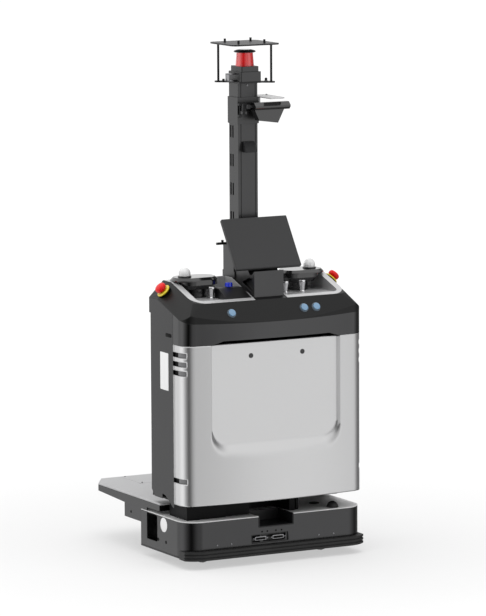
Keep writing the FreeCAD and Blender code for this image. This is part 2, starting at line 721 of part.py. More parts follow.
# ---------------------------------------------------------------- body
def makeFrontCover():
    """Moulded front: bowed, rounded at the corners, with a wide U-shaped recess."""
    body = newBody()
    high, yBack = coverTop - at.bodyLow, fromFront(at.coverBack)
    w, r = at.coverWall, at.bodyRadius
    outer = frontOutline(half, yBack, front, r, at.bow)
    inner = frontOutline(half - w, yBack, front + at.frontWall - 4, r - w, at.bow - 4)
    loop = joinBand(outer, inner)
    pad(body, sketch(body, "XY_Plane", loop, lift=at.bodyLow), high)
    x, low, rr = at.recessWidth / 2, at.recessLow, at.recessRadius
    over = coverTop + rr
    shape = recessShape(x, low, rr, over)
    slope = at.recessSlope
    flare = recessShape(x + at.recessSide, low - slope, rr, over)
    feature = body.newObject("PartDesign::SubtractiveLoft", "Recess")
    feature.Profile = sketch(body, "XZ_Plane", shape, lift=at.recessFloor - front)
    feature.Sections = [sketch(body, "XZ_Plane", flare, lift=at.bow + 5 - front)]
    feature.Ruled = True
    slots = []
    for level in (slotTop, slotTop - at.slotPitch, slotTop - 2 * at.slotPitch, at.slotLow):
        y, z0, z1 = fromFront(at.slotFront), level - at.slotHeight, level
        slots.append([(y, z0), (yBack + w, z0), (yBack + w, z1), (y, z1)])
    for lift in (half - r, -half - r):
        pocket(body, sketch(body, "YZ_Plane", *slots, lift=lift), 2 * r, back=True)
    return piece(body, "front_cover")


def recessShape(x, low, radius, over):
    """Outline of the recess: straight sides and two large lower corners."""
    return [
        (-x, over), (-x, low + radius, -radius), (-x + radius, low), (x - radius, low, -radius),
        (x, low + radius), (x, over),
    ]


def joinBand(outer, inner):
    """Closes an open outline and its inset into one band."""
    back = []
    for i in range(len(inner) - 1, -1, -1):
        corner = inner[i]
        step = inner[i - 1] if i else None
        if step is not None and len(step) == 3:
            back.append((corner[0], corner[1], -step[2]))
        else:
            back.append((corner[0], corner[1]))
    return outer + back


def consoleLine(y):
    """Height of the inclined joint between the body and the console."""
    return at.shoulder + (y - fromFront(at.shoulderY)) * at.slopeRise


def makeFrontBand():
    body = newBody()
    yBack, w, r = fromFront(at.coverBack), at.coverWall, at.bodyRadius
    z = coverTop + at.seam
    outer = frontOutline(half, yBack, front, r, at.bow)
    inner = frontOutline(half - w, yBack, front + w, r - w, at.bow)
    pad(body, sketch(body, "XY_Plane", joinBand(outer, inner), lift=z), at.shoulder - z)
    y0, y1 = front - 2 * at.bow, yBack + w
    pocket(body, sketch(body, "YZ_Plane", [
        (y0, consoleLine(y0)), (y1, consoleLine(y1)), (y1, at.shoulder + at.bow), (y0, at.shoulder + at.bow),
    ]), at.bodyWidth * 2, middle=True)
    x, peak = at.recessWidth / 2, at.recessWidth / 2 - at.archSlope
    pocket(body, sketch(body, "XZ_Plane", [
        (-x, z - w), (x, z - w), (x, z), (peak, z + at.archRise), (-peak, z + at.archRise), (-x, z),
    ], lift=-y0), 2 * at.bow + 2 * w)
    return piece(body, "front_band")


def makeSidePanel(side, name):
    body = newBody()
    y0 = fromFront(at.coverBack) + at.seam
    y1 = fromFront(at.bodyBack)
    lip, low = fromFront(at.lipBack), at.bodyLow
    outline = [
        (y0, low - at.toeDrop), (y0 + at.toeLength, low - at.toeDrop),
        (y0 + at.archLength * 0.4, low + at.archHeight * 0.1),
        (y0 + at.archLength * 0.75, low + at.archHeight * 0.87), (y0 + at.archLength, low + at.archHeight),
        (y0 + at.archLength, low + at.panelLift), (y1 - at.panelBevel, low + at.panelLift),
        (y1, low + at.panelLift + at.panelBevel), (y1, lipLow), (lip, lipLow),
        (lip, at.shoulder), (fromFront(at.shoulderY), at.shoulder), (y0, consoleLine(y0)),
    ]
    lift = half - at.panelWall if side > 0 else -half
    pad(body, sketch(body, "YZ_Plane", outline, lift=lift), at.panelWall)
    return piece(body, name)


def makeRearPanel():
    """Back wall of the body with a louvred lower part."""
    x, y, w = half - at.panelWall, fromFront(at.bodyBack), at.panelWall
    wall = box(-x, x, y - w, y, at.bodyLow + at.panelLift, at.shoulder)
    slots = []
    reach = at.louvreWidth / 2
    for level in range(int(at.louvreCount.number)):
        z = at.bodyLow + at.louvreLow + at.louvrePitch * level
        slots.append(box(-reach, reach, y - 2 * w, y + w, z, z + at.louvreHeight))
    return piece(cut(wall, *slots), "rear_panel")


def makeBodyFrame():
    """Four uprights on a base plate; the covers and the console bolt to them."""
    t, g = at.frameTube, at.frameInset
    x = half - at.coverWall - g
    y0, y1 = fromFront(at.frontWall + g), fromFront(at.bodyBack) - at.panelWall
    z0, top = at.bodyLow, trayFloor - at.trayWall - at.fitGap
    parts = [box(-x, x, y0, y1, z0, z0 + 6)]
    for side in (-1, 1):
        low = side * x if side < 0 else x - t
        parts.append(box(low, low + t, y0, y0 + t, z0, consoleLine(y0)))
        parts.append(box(low, low + t, y1 - t, y1, z0, top))
    parts.append(box(-x, x, y1 - t, y1, top - t, top))
    return piece(fuse(*parts), "body_frame")


# ---------------------------------------------------------------- console
def slopeTop(y):
    """Height of the console's sloping top."""
    rise = (crownZ - slopeStartZ) / (at.crownY - at.slopeStartY)
    return slopeStartZ + (y - fromFront(at.slopeStartY)) * rise


def consoleProfile():
    y0 = front - at.bow
    return [
        (y0, consoleLine(y0)), (fromFront(at.consoleFrontY), consoleFrontTop),
        (fromFront(at.slopeStartY), slopeStartZ), (fromFront(at.crownY), crownZ),
        (fromFront(at.lipBack), crownZ), (fromFront(at.lipBack), at.shoulder),
        (fromFront(at.shoulderY), at.shoulder),
    ]


def trayOutline(outer, frontY, backY, radius):
    inner = at.trayInner
    return [
        (inner, frontY), (outer - radius, frontY, -radius), (outer, frontY + radius), (outer, backY),
        (inner, backY),
    ]


def prism(role, outline, lift, length, middle=False):
    body = newBody()
    pad(body, sketch(body, role, outline, lift=lift), length, middle=middle)
    return body


def basin(grow):
    """The space a tray fills below the console's top, as a block."""
    outer = trayOuter - at.trayRim + grow
    y0, y1 = fromFront(at.consoleFrontY + at.trayFrontRim) - grow, fromFront(at.trayBack) + grow
    outline = trayOutline(outer, y0, y1, at.trayRadius - at.trayRim + grow)
    low = trayFloor - at.trayWall
    return prism("XY_Plane", outline, low, crownZ + 2 * at.sideChamfer - low)


def makeConsole():
    """Black top shell: front and side chamfers round a top that slopes up to the mast."""
    block = prism("YZ_Plane", consoleProfile(), 0, at.bodyWidth, middle=True)
    plan = prism("XY_Plane", frontOutline(half, fromFront(at.lipBack), front, at.bodyRadius, at.bow),
                 coverTop, crownZ - coverTop + at.bow)
    c = at.sideChamfer
    shell = cut(common(block, plan), sideBevel(-1), sideBevel(1))
    hollowOutline = [
        (front + 2 * at.bow, consoleLine(front + 2 * at.bow) - c),
        (front + 2 * at.bow, consoleLine(front + 2 * at.bow) + at.consoleWall),
        (fromFront(at.shoulderY), at.shoulder + at.slopeStartRise),
        (fromFront(at.lipBack) - at.consoleWall, at.shoulder + at.hollowBackRise),
        (fromFront(at.lipBack) - at.consoleWall, at.shoulder - c),
    ]
    inside = at.bodyWidth - 2 * at.sideChamfer - 2 * at.consoleWall
    hollow = prism("YZ_Plane", hollowOutline, 0, inside, middle=True)
    sinks = [basin(at.fitGap), mirrored(basin(at.fitGap))]
    holes = [chamferRod(x, at.buttonStem + at.runningGap, at.buttonBore, at.buttonReach)
             for x in buttonPlaces.values()]
    holes += [stopRod(side, at.stopStemRadius + at.runningGap, -at.stopSink, 2 * at.stopSink)
              for side in (-1, 1)]
    return piece(cut(shell, hollow, *sinks, *holes), "console_shell")


def sideBevel(side):
    """A wedge that takes the 45 degree bevel off one side, along the sloping top."""
    c = at.sideChamfer
    y0, y1, y2 = front - 4 * at.bow, fromFront(at.crownY), fromFront(at.lipBack) + c
    edge, inner, over = half, half - c, half + c
    sections = []
    for y, z in ((y0, slopeTop(y0)), (y1, crownZ), (y2, crownZ)):
        points = [(edge.number, z.number - c.number), (inner.number, z.number),
                  (inner.number, z.number + c.number), (over.number, z.number + c.number),
                  (over.number, z.number - c.number)]
        wire = Part.makePolygon([Vector(side * px, y.number, pz) for px, pz in points + points[:1]])
        sections.append(wire)
    first = Part.makeLoft(sections[:2], True, True)
    second = Part.makeLoft(sections[1:], True, True)
    wedge = doc.addObject("Part::Feature", "Bevel")
    wedge.Shape = first.fuse(second).removeSplitter()
    return wedge


def makeTrays():
    """Satin trays let into the console, each with a level floor and a rim on the slope."""
    rim, w = at.trayRim, at.trayWall
    y0, y1 = fromFront(at.consoleFrontY), fromFront(at.trayBack)
    high = crownZ + 2 * at.sideChamfer
    whole = prism("XY_Plane", trayOutline(trayOuter, y0, y1, at.trayRadius), trayFloor - w,
                  high - trayFloor + w)
    flangeBand = prism("YZ_Plane", [
        (y0, consoleFrontTop), (fromFront(at.slopeStartY), slopeStartZ),
        (fromFront(at.crownY), crownZ), (y1, crownZ), (y1, crownZ + at.rimThick),
        (fromFront(at.crownY), crownZ + at.rimThick),
        (fromFront(at.slopeStartY), slopeStartZ + at.rimThick), (y0, consoleFrontTop + at.rimThick),
    ], 0, at.bodyWidth * 2, middle=True)
    flange = common(whole, flangeBand)
    under = prism("YZ_Plane", [
        (y0, trayFloor - 2 * w), (y0, consoleFrontTop + at.rimThick),
        (fromFront(at.slopeStartY), slopeStartZ + at.rimThick),
        (fromFront(at.crownY), crownZ + at.rimThick), (y1, crownZ + at.rimThick),
        (y1, trayFloor - 2 * w),
    ], 0, at.bodyWidth * 2, middle=True)
    tub = common(basin(asSize(0)), under)
    outer = trayOuter - rim - w
    y0 = y0 + at.trayFrontRim + w
    hollow = prism("XY_Plane", [
        (at.trayInner + w, y0), (outer - rim, y0, -rim), (outer, y0 + rim), (outer, y1 - w),
        (at.trayInner + w, y1 - w),
    ], trayFloor, high)
    tray = cut(fuse(tub, flange), hollow)
    return piece(group(tray, mirrored(tray)), "console_trays")


def makePods():
    """Flat oval pods on a foot in each tray."""
    pods = []
    for side in (-1, 1):
        body = roundedBlock(side * podX, fromFront(at.podY), podLow, at.podWidth, at.podDepth, at.podHeight)
        top = at.podHeight.number - 1e-6
        finish(body, at.podBevel, lambda edge: edge.BoundBox.ZMin > top, "Chamfer")
        x, y, low = side * (podX - at.bowlShiftX), fromFront(at.podY - at.bowlShiftY), podLow - at.bowlDrop
        bowl = roundedBlock(x, y, low, at.bowlWidth, at.bowlDepth, at.bowlDrop)
        finish(bowl, at.bowlBevel, lambda edge: edge.BoundBox.ZMax < 1e-6, "Chamfer")
        foot = cylinder(at.podFootRadius, low - trayFloor, x, y, trayFloor)
        pods.append(fuse(body, bowl, foot))
    return piece(group(*pods), "sensor_pods")


def roundedBlock(x, y, z, width, depth, height):
    """A block with nearly half-round ends, centred on its place."""
    body = newBody(x, y, z)
    a, b = width / 2, depth / 2
    pad(body, sketch(body, "XY_Plane", [(-a, -b), (a, -b), (a, b), (-a, b)]), height)
    finish(body, b - 2, upright)
    return body


def makeDomes():
    """Opal signal domes on the outer ends of the pods."""
    domes = []
    for side in (-1, 1):
        x, y, z = side * (podX + at.domeShift), fromFront(at.podY), podLow + at.podHeight
        r = at.domeRadius
        crown = z + at.domeStem
        cap = common(ball(r, x, y, crown), box(x - r, x + r, y - r, y + r, crown, crown + r))
        domes.append(fuse(cylinder(r, at.domeStem, x, y, z), cap))
    return piece(group(*domes), "signal_domes")


def makePosts():
    """Polished posts with broad caps that stand in the trays."""
    posts = []
    for x in (-1 * at.postOuterX, at.postInnerX, at.postOuterX):
        body = newBody(x, fromFront(at.postY), trayFloor)
        r, R, z, foot = at.postRadius, at.postCapRadius, at.postHeight, at.postFoot
        revolve(body, sketch(body, "XZ_Plane", [
            (0, 0), (r + foot, 0), (r + foot, foot), (r, 2 * foot), (R, z - 2 * foot), (R, z - foot / 2),
            (R - foot / 2, z), (0, z),
        ]))
        posts.append(body)
    return piece(group(*posts), "locating_posts")


def blueSeat():
    z = trayFloor + at.blueBaseHeight
    return -1 * at.postInnerX, fromFront(at.postY), z


def makeBlueButton():
    x, y, z = blueSeat()
    w, y0 = at.blueBaseWidth, fromFront(at.blueBaseLow)
    base = newBody(-1 * at.trayInner - at.trayWall - at.fitGap - w)
    pad(base, sketch(base, "YZ_Plane", [
        (y0, trayFloor), (y0, trayFloor + 4), (y - 18, z), (y + 18, z), (y0 + at.blueBaseDepth, z - 20),
        (y0 + at.blueBaseDepth, trayFloor),
    ]), w)
    r, stem = at.blueRadius, at.buttonStem
    seat = cylinder(stem + at.runningGap, 30, x, y, z - 16)
    piece(cut(base, seat), "blue_button_base")
    gap = at.blueTravel + 0.5
    cap = fuse(cone(r, r - 2, at.blueHeight, x, y, z + gap), cylinder(stem, gap + 10, x, y, z - 10))
    return piece(cap, "blue_button")


def frontFace():
    """Run and rise of a unit step up the console's front chamfer."""
    run = at.consoleFrontY + at.bow
    rise = consoleFrontTop - consoleLine(front - at.bow)
    length = math.hypot(run.number, rise.number)
    return run / length, rise / length


def chamferRod(x, radius, below, above):
    """A rod square to the front chamfer at a button's place, from below it to above it."""
    run, rise = frontFace()
    angle = math.degrees(math.atan2(rise.number, run.number))
    rod = turned(doc.addObject("Part::Cylinder", "Rod"), FreeCAD.Rotation(Vector(1, 0, 0), angle))
    bind(rod, "Radius", radius)
    bind(rod, "Height", below + above)
    y = front - at.bow + at.buttonAlong * run + below * rise
    z = consoleLine(front - at.bow) + at.buttonAlong * rise - below * run
    return place(rod, x, y, z)


buttonPlaces = {"left": -1 * at.buttonLeftX, "centre": at.buttonInnerX, "right": at.buttonOuterX}


def makePushButtons():
    """Illuminated buttons let into the front chamfer."""
    out = at.buttonTravel + 0.5
    for name, x in buttonPlaces.items():
        cap = chamferRod(x, at.buttonRadius, -out, out + at.buttonHeight)
        stem = chamferRod(x, at.buttonStem, at.buttonReach, out)
        piece(fuse(cap, stem), "push_button_" + name)


def stopRod(side, radius, start, length, endRadius=None):
    """A rod or taper square to a side bevel at the emergency stop's place."""
    k = math.sqrt(0.5)
    x = side * (half - at.sideChamfer + at.stopDown) + side * k * start
    z = crownZ - at.stopDown + k * start
    turn = FreeCAD.Rotation(Vector(0, 1, 0), 45 * side)
    if endRadius is None:
        return cylinder(radius, length, x, fromFront(at.stopY), z, turn)
    return cone(radius, endRadius, length, x, fromFront(at.stopY), z, turn)


def makeStops():
    """Emergency stops: a collar on each side bevel and a mushroom head above it."""
    collars = []
    for side, name in ((-1, "left"), (1, "right")):
        ring = stopRod(side, at.stopCollarRadius, asSize(0), at.stopCollarHeight, at.stopCollarRadius - 5)
        hole = stopRod(side, at.stopStemRadius + at.runningGap, asSize(-2), at.stopCollarHeight + 4)
        collars.append(cut(ring, hole))
        z0 = at.stopCollarHeight + at.stopTravel + 1
        low = at.stopTravel - at.stopSink
        stem = stopRod(side, at.stopStemRadius, low, z0 - low)
        neck = stopRod(side, at.stopStemRadius + 3, z0, asSize(5), at.stopHeadRadius)
        head = stopRod(side, at.stopHeadRadius, z0 + 5, at.stopHeadHeight - 5)
        crown = stopRod(side, at.stopHeadRadius, z0 + at.stopHeadHeight, asSize(4), at.stopHeadRadius - 5)
        piece(fuse(stem, neck, head, crown), "stop_button_" + name)
    return piece(group(*collars), "stop_collars")


# ---------------------------------------------------------------- pedestal and screen
lean = at.screenLean
alongY, alongZ = sine(lean), cosine(lean)
hingeY = fromFront(at.screenLowY) + at.hingeAlong * alongY + (at.screenThick + at.hingeBehind) * alongZ
hingeZ = screenLowZ + at.hingeAlong * alongZ - (at.screenThick + at.hingeBehind) * alongY


def makePedestal():
    """Box under the screen that reaches back to the mast, with ears for the hinge pin."""
    body = newBody()
    y0, w = fromFront(at.slopeStartY), at.pedestalWidth
    y1 = mastY - at.mastDepth / 2 - at.footWall - at.footFlare - at.fitGap
    pad(body, sketch(body, "YZ_Plane", [
        (y0, slopeStartZ), (y0, pedestalTop), (y0 + 18, pedestalTop - 14),
        (hingeY - 22, pedestalTop - 14), (hingeY + 10, hingeZ - 22), (y1, hingeZ - 2),
        (y1, slopeTop(y1)),
    ]), w, middle=True)
    pocketShape = [
        (y0 + 14, slopeTop(y0 + 14) + 12), (y0 + 14, pedestalTop - 26), (hingeY - 16, pedestalTop - 26),
        (hingeY + 34, slopeTop(hingeY + 34) + 14),
    ]
    for lift, back in ((w / 2 - at.pocketDepth, True), (-w / 2 + at.pocketDepth, False)):
        pocket(body, sketch(body, "YZ_Plane", pocketShape, lift=lift), at.pocketDepth + 1, back=back)
    ears = []
    inner = at.hingeLength / 2 + 1
    for side in (-1, 1):
        low = inner if side > 0 else -inner - at.earWall
        ear = newBody()
        pad(ear, sketch(ear, "YZ_Plane", [
            (hingeY - 11, hingeZ - 2), (hingeY - 4, hingeZ + 10), (hingeY + 4, hingeZ + 10),
            (hingeY + 36, hingeZ - 4), (hingeY + 36, hingeZ - 40), (hingeY - 8, hingeZ - 40),
        ], lift=low), at.earWall)
        ears.append(ear)
    relief = cylinder(at.hingeRadius + 3, at.hingeLength + 2, -at.hingeLength / 2 - 1, hingeY, hingeZ, "x")
    reach = inner + at.earWall
    hingePin = cylinder(at.hingePinRadius, 2 * reach, -reach, hingeY, hingeZ, "x")
    return piece(fuse(cut(fuse(body, *ears), relief), hingePin), "pedestal")


def makeScreen():
    """Touch screen on a barrel that turns on the pedestal's pin."""
    turn = FreeCAD.Rotation(Vector(1, 0, 0), -at.screenLean.number)
    w, h, t = at.screenWidth / 2, at.screenHeight, at.screenThick
    body = newBody(0, fromFront(at.screenLowY), screenLowZ, turn)
    pad(body, sketch(body, "XZ_Plane", [(-w, 0), (w, 0), (w, h), (-w, h)], lift=-t), t)
    finish(body, 4, lambda edge: edge.Length > 30 or abs(edge.BoundBox.YLength - t.number) < 1)
    web = newBody(0, fromFront(at.screenLowY), screenLowZ, turn)
    s = at.hingeAlong
    pad(web, sketch(web, "YZ_Plane", [
        (t - 2, s - 8), (t + at.hingeBehind, s - 5), (t + at.hingeBehind, s + 5), (t - 2, s + 26),
    ]), at.hingeLength, middle=True)
    barrel = cylinder(at.hingeRadius, at.hingeLength, -at.hingeLength / 2, hingeY, hingeZ, "x")
    bore = cylinder(at.hingePinRadius + at.runningGap, at.hingeLength * 2, -1 * at.hingeLength,
                    hingeY, hingeZ, "x")
    return piece(cut(fuse(body, web, barrel), bore), "screen_panel")


# ---------------------------------------------------------------- mast
def rectangle(x, y, grow=0):
    a, b = x / 2 + grow, y / 2 + grow
    return [(-a, -b), (a, -b), (a, b), (-a, b)]


def makeMast():
    """Aluminium mast profile: hollow, grooved at the front corners, with vent slots."""
    body = newBody(0, mastY, crownZ)
    length = at.mastTop - crownZ
    inner = rectangle(at.mastWidth, at.mastDepth, -at.mastWall)
    pad(body, sketch(body, "XY_Plane", rectangle(at.mastWidth, at.mastDepth), inner), length)
    g, x, y = at.mastGroove, at.mastWidth / 2, -at.mastDepth / 2
    grooves = []
    for side in (-1, 1):
        low = x - 3 * g if side > 0 else -x + 2 * g
        grooves.append([(low, y - 1), (low + g, y - 1), (low + g, y + g / 2), (low, y + g / 2)])
    pocket(body, sketch(body, "XY_Plane", *grooves), length, back=True)
    vents = []
    for level in range(4):
        z = at.ventTop - crownZ - level * at.ventPitch
        for shift in (0, 1):
            y0 = at.mastDepth / 2 - at.ventSpread * (1 + shift)
            vents.append([(y0, z - at.ventLength / 2), (y0 + at.ventWidth, z - at.ventLength / 2),
                          (y0 + at.ventWidth, z + at.ventLength / 2), (y0, z + at.ventLength / 2)])
    pocket(body, sketch(body, "YZ_Plane", *vents), at.mastWidth * 2, middle=True)
    return piece(body, "mast_profile")


def makeMastFoot():
    """Clamp foot round the bottom of the mast with a flared skirt."""
    body = newBody(0, mastY, crownZ)
    gap = at.fitGap
    hole = rectangle(at.mastWidth, at.mastDepth, gap)
    wide, deep = at.mastWidth + 2 * at.footSide, at.mastDepth + 2 * at.footWall
    pad(body, sketch(body, "XY_Plane", rectangle(wide, deep), hole), footTop - crownZ)
    pad(body, sketch(body, "XY_Plane", rectangle(wide, deep + 2 * at.footFlare), hole), at.footSkirt)
    inner = at.mastWidth / 2 + at.footWall
    lever = cylinder(at.leverRadius, at.leverReach - inner, -1 * at.leverReach, mastY,
                     footTop + at.leverRadius - 0.5, "x")
    knob = cylinder(at.leverRadius, at.knobHeight, -1 * at.knobX, mastY, footTop)
    return piece(fuse(body, lever, knob), "mast_foot")


def makeCollar():
    body = newBody(0, mastY, at.collarLow)
    hole = rectangle(at.mastWidth, at.mastDepth, at.fitGap)
    pad(body, sketch(body, "XY_Plane", rectangle(at.mastWidth, at.mastDepth, at.collarWall), hole),
        at.collarHigh - at.collarLow)
    y = mastY - at.mastDepth / 2 - at.collarWall
    pivot = cylinder(at.armRadius + 4, 10, at.panX, y - at.panOut, at.armZ - 26)
    web = box(at.panX - 7, at.panX + 7, y - at.panOut, y, at.armZ - 26, at.armZ - 16)
    pinUp = cylinder(at.tiltPinRadius, 18, at.panX, y - at.panOut, at.armZ - 18)
    return piece(fuse(body, pivot, web, pinUp), "mast_collar")


def makeHood():
    """Hood over the downward camera on the front of the mast."""
    y = mastY - at.mastDepth / 2
    body = newBody()
    pad(body, sketch(body, "YZ_Plane", [
        (y, at.hoodLow), (y - at.hoodDepth, at.hoodLow), (y - at.hoodDepth, at.hoodLow + 10),
        (y - 8, at.hoodLow + at.hoodHeight), (y, at.hoodLow + at.hoodHeight),
    ]), at.hoodWidth, middle=True)
    eye = cylinder(9, 8, 0, y - at.hoodDepth / 2, at.hoodLow - 1)
    return piece(cut(body, eye), "camera_hood")


# ---------------------------------------------------------------- scanner
scanY = mastY - at.mastDepth / 2 - at.collarWall - at.panOut
barY = mastY - at.mastDepth / 2 - at.collarWall - at.barOut


def makeScannerArm():
    """Knuckle that pans on the collar's pin and holds the tilt pin."""
    x = at.panX
    knuckle = cut(cylinder(at.armRadius, 24, x, scanY, at.armZ - 15.5),
                  cylinder(at.tiltPinRadius + at.runningGap, 18, x, scanY, at.armZ - 16.5))
    neck = box(x, x + 10, barY - 7, scanY + 5, at.armZ - 7, at.armZ + 7)
    neck = cut(neck, cylinder(at.tiltPinRadius + 1, 20, x, scanY, at.armZ - 16.5))
    tiltPin = cylinder(at.tiltPinRadius, at.barLeft - x - 10 + at.tiltPinLength, x + 10, barY, at.armZ, "x")
    return piece(fuse(knuckle, neck, tiltPin), "scanner_arm")


def makeScanner():
    """Scanner head: a rounded bar along X with a tapered hood below it."""
    x0, x1 = at.barLeft, at.barLeft + at.barLength
    d, hh = at.barDepth / 2, at.barHeight / 2
    body = newBody(x0, barY, at.armZ)
    pad(body, sketch(body, "YZ_Plane", [
        (-d, -hh + 8), (-d, hh - 12), (-d + 12, hh), (d - 8, hh), (d, hh - 8), (d, -hh), (-d + 8, -hh),
    ]), at.barLength)
    hood = newBody(0, 0, 0)
    drop = at.skirtDrop
    z = at.armZ - hh
    pad(hood, sketch(hood, "XZ_Plane", [
        (x0, z + 1), (x1 - at.skirtEnd, z + 1), (x1 - at.skirtRight, z - drop),
        (x0 + at.skirtLeft, z - drop + at.skirtRise),
    ], lift=-barY - d + 4), 2 * d - 10)
    bore = cylinder(at.tiltPinRadius + at.runningGap, at.tiltPinLength + 3, x0 - 1, barY, at.armZ, "x")
    return piece(cut(fuse(body, hood), bore), "scanner_head")


# ---------------------------------------------------------------- top sensor and guard
guardPosts = ((-1 * at.postX, headY + at.postDY), (at.postX, headY - at.postDY))


def makeSensorDeck():
    """Plate on the mast head with two ears for the guard posts."""
    z = at.mastTop
    core = box(-at.lidarWidth / 2 - 6, at.lidarWidth / 2 + 6, headY - at.lidarDepth / 2 - 2,
               headY + at.lidarDepth / 2 + 2, z, z + at.guardPlate)
    body = newBody(0, headY, z)
    w = at.earRadius
    dx, dy = at.postX.number, -at.postDY.number
    length = math.hypot(dx, dy)
    ox, oy = -dy / length, dx / length
    pad(body, sketch(body, "XY_Plane", [
        (-1 * at.postX - w * ox, at.postDY - w * oy), (at.postX - w * ox, -1 * at.postDY - w * oy),
        (at.postX + w * ox, -1 * at.postDY + w * oy), (-1 * at.postX + w * ox, at.postDY + w * oy),
    ]), at.guardPlate)
    ends = [cylinder(w, at.guardPlate, x, y, z) for x, y in guardPosts]
    return piece(fuse(core, body, *ends), "sensor_deck")


def makeGuardPosts():
    z = at.mastTop + at.guardPlate
    posts = [cylinder(at.guardPostRadius, at.guardTop - at.guardPlate - z, x, y, z) for x, y in guardPosts]
    return piece(group(*posts), "guard_posts")


def makeGuardPlate():
    body = newBody(0, headY, at.guardTop - at.guardPlate)
    pad(body, sketch(body, "XY_Plane", rectangle(at.guardSide, at.guardSide)), at.guardPlate)
    finish(body, at.guardRadius, upright)
    return piece(body, "guard_plate")


def makeGuardStuds():
    s, z = at.studSpacing / 2, at.guardTop
    studs = []
    for x in (-1 * s, s):
        for y in (headY - s, headY + s):
            studs.append(cylinder(at.studRadius, at.studHeight, x, y, z))
    return piece(group(*studs), "guard_studs")


def makeLidar():
    """Scanning rangefinder: stepped housing, red window, black cap, spinning mirror."""
    z = at.mastTop + at.guardPlate
    x, y = at.lidarWidth / 2, at.lidarDepth / 2
    i = at.lidarInset
    low = softened(box(-x, x, headY - y, headY + y, z, z + at.lidarBase), 5, upright)
    high = softened(box(-x + i, x - i, headY - y + i, headY + y - i, z + at.lidarBase,
                        z + at.lidarBase + at.lidarStep), 5, upright)
    top = z + at.lidarBase + at.lidarStep
    well = cylinder(at.rotorRadius + 2, at.lidarStep, 0, headY, top - 6)
    shaftPin = cylinder(at.rotorPin, 24, 0, headY, top - 6)
    piece(fuse(cut(fuse(low, high), well), shaftPin), "rangefinder_base")
    window = newBody(0, headY, top)
    r0, r1, w, hgt = at.windowLow, at.windowHigh, at.windowWall, at.windowHeight
    revolve(window, sketch(window, "XZ_Plane", [(r0 - w, 0), (r0, 0), (r1, hgt), (r1 - w, hgt)]))
    piece(window, "rangefinder_window")
    cap = newBody(0, headY, top + hgt)
    R, c = at.capRadius, at.capHeight
    revolve(cap, sketch(cap, "XZ_Plane", [(0, 0), (R - 4, 0), (R, 3), (R - 3, c - 4), (R - 16, c), (0, c)]))
    piece(cap, "rangefinder_cap")
    rotor = newBody(0, headY, top - 5)
    bore, rr = at.rotorPin + at.runningGap, at.rotorRadius
    revolve(rotor, sketch(rotor, "XZ_Plane", [
        (bore, 0), (rr, 0), (rr, 6), (rr - 8, 12), (rr - 8, at.rotorHeight - 8), (rr, at.rotorHeight),
        (0, at.rotorHeight), (0, 26), (bore, 26),
    ]))
    notchTool = box(2, rr * 2, headY - 12, headY + 12, top + 10, top + at.rotorHeight - 15)
    return piece(cut(rotor, notchTool), "mirror_rotor")


# ---------------------------------------------------------------- assembly
for make in (
    makeFloorPlate, makeBasePan, makeTopPlate, makeNotchLiner, makeBumper, makeSocketBlock, makeBattery,
    makeDeck, makeDeckSkirt, makeRearFrame, makeDriveMotors, makeCasterPlates, makeNeck, makeBuffers,
    makeFrontCover, makeFrontBand, makeRearPanel, makeBodyFrame, makeConsole, makeTrays, makePods,
    makeDomes, makePosts, makeBlueButton, makePushButtons, makeStops, makePedestal, makeScreen,
    makeMast, makeMastFoot, makeCollar, makeHood, makeScannerArm, makeScanner,
    makeSensorDeck, makeGuardPosts, makeGuardPlate, makeGuardStuds, makeLidar,
):
    make()
for side, name in ((-1, "left"), (1, "right")):
    makeWheel(side, "drive_wheel_" + name)
    makeSidePanel(side, "side_panel_" + name)
for name, (x, y) in casterPlaces.items():
    makeCaster(name, x, y)

doc.recompute()
faults = ["%s: %s" % (obj.Label, obj.State) for obj in doc.Objects
          if "Invalid" in obj.State or "Error" in obj.State]
for obj in nodes:
    if obj.Shape.isNull() or not obj.Shape.isValid() or not obj.Shape.Solids:
        faults.append("%s: no valid solid" % obj.Label)
if faults:
    raise RuntimeError("\n".join(faults))
for obj in nodes:
    obj.Shape.exportStep("parts/%s.step" % obj.Label)
    print("%-28s solids %d  volume %.1f cm3" % (obj.Label, len(obj.Shape.Solids), obj.Shape.Volume / 1000))
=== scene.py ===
import json
import math

import bmesh
import bpy
from mathutils import Matrix, Vector
from mathutils.bvhtree import BVHTree


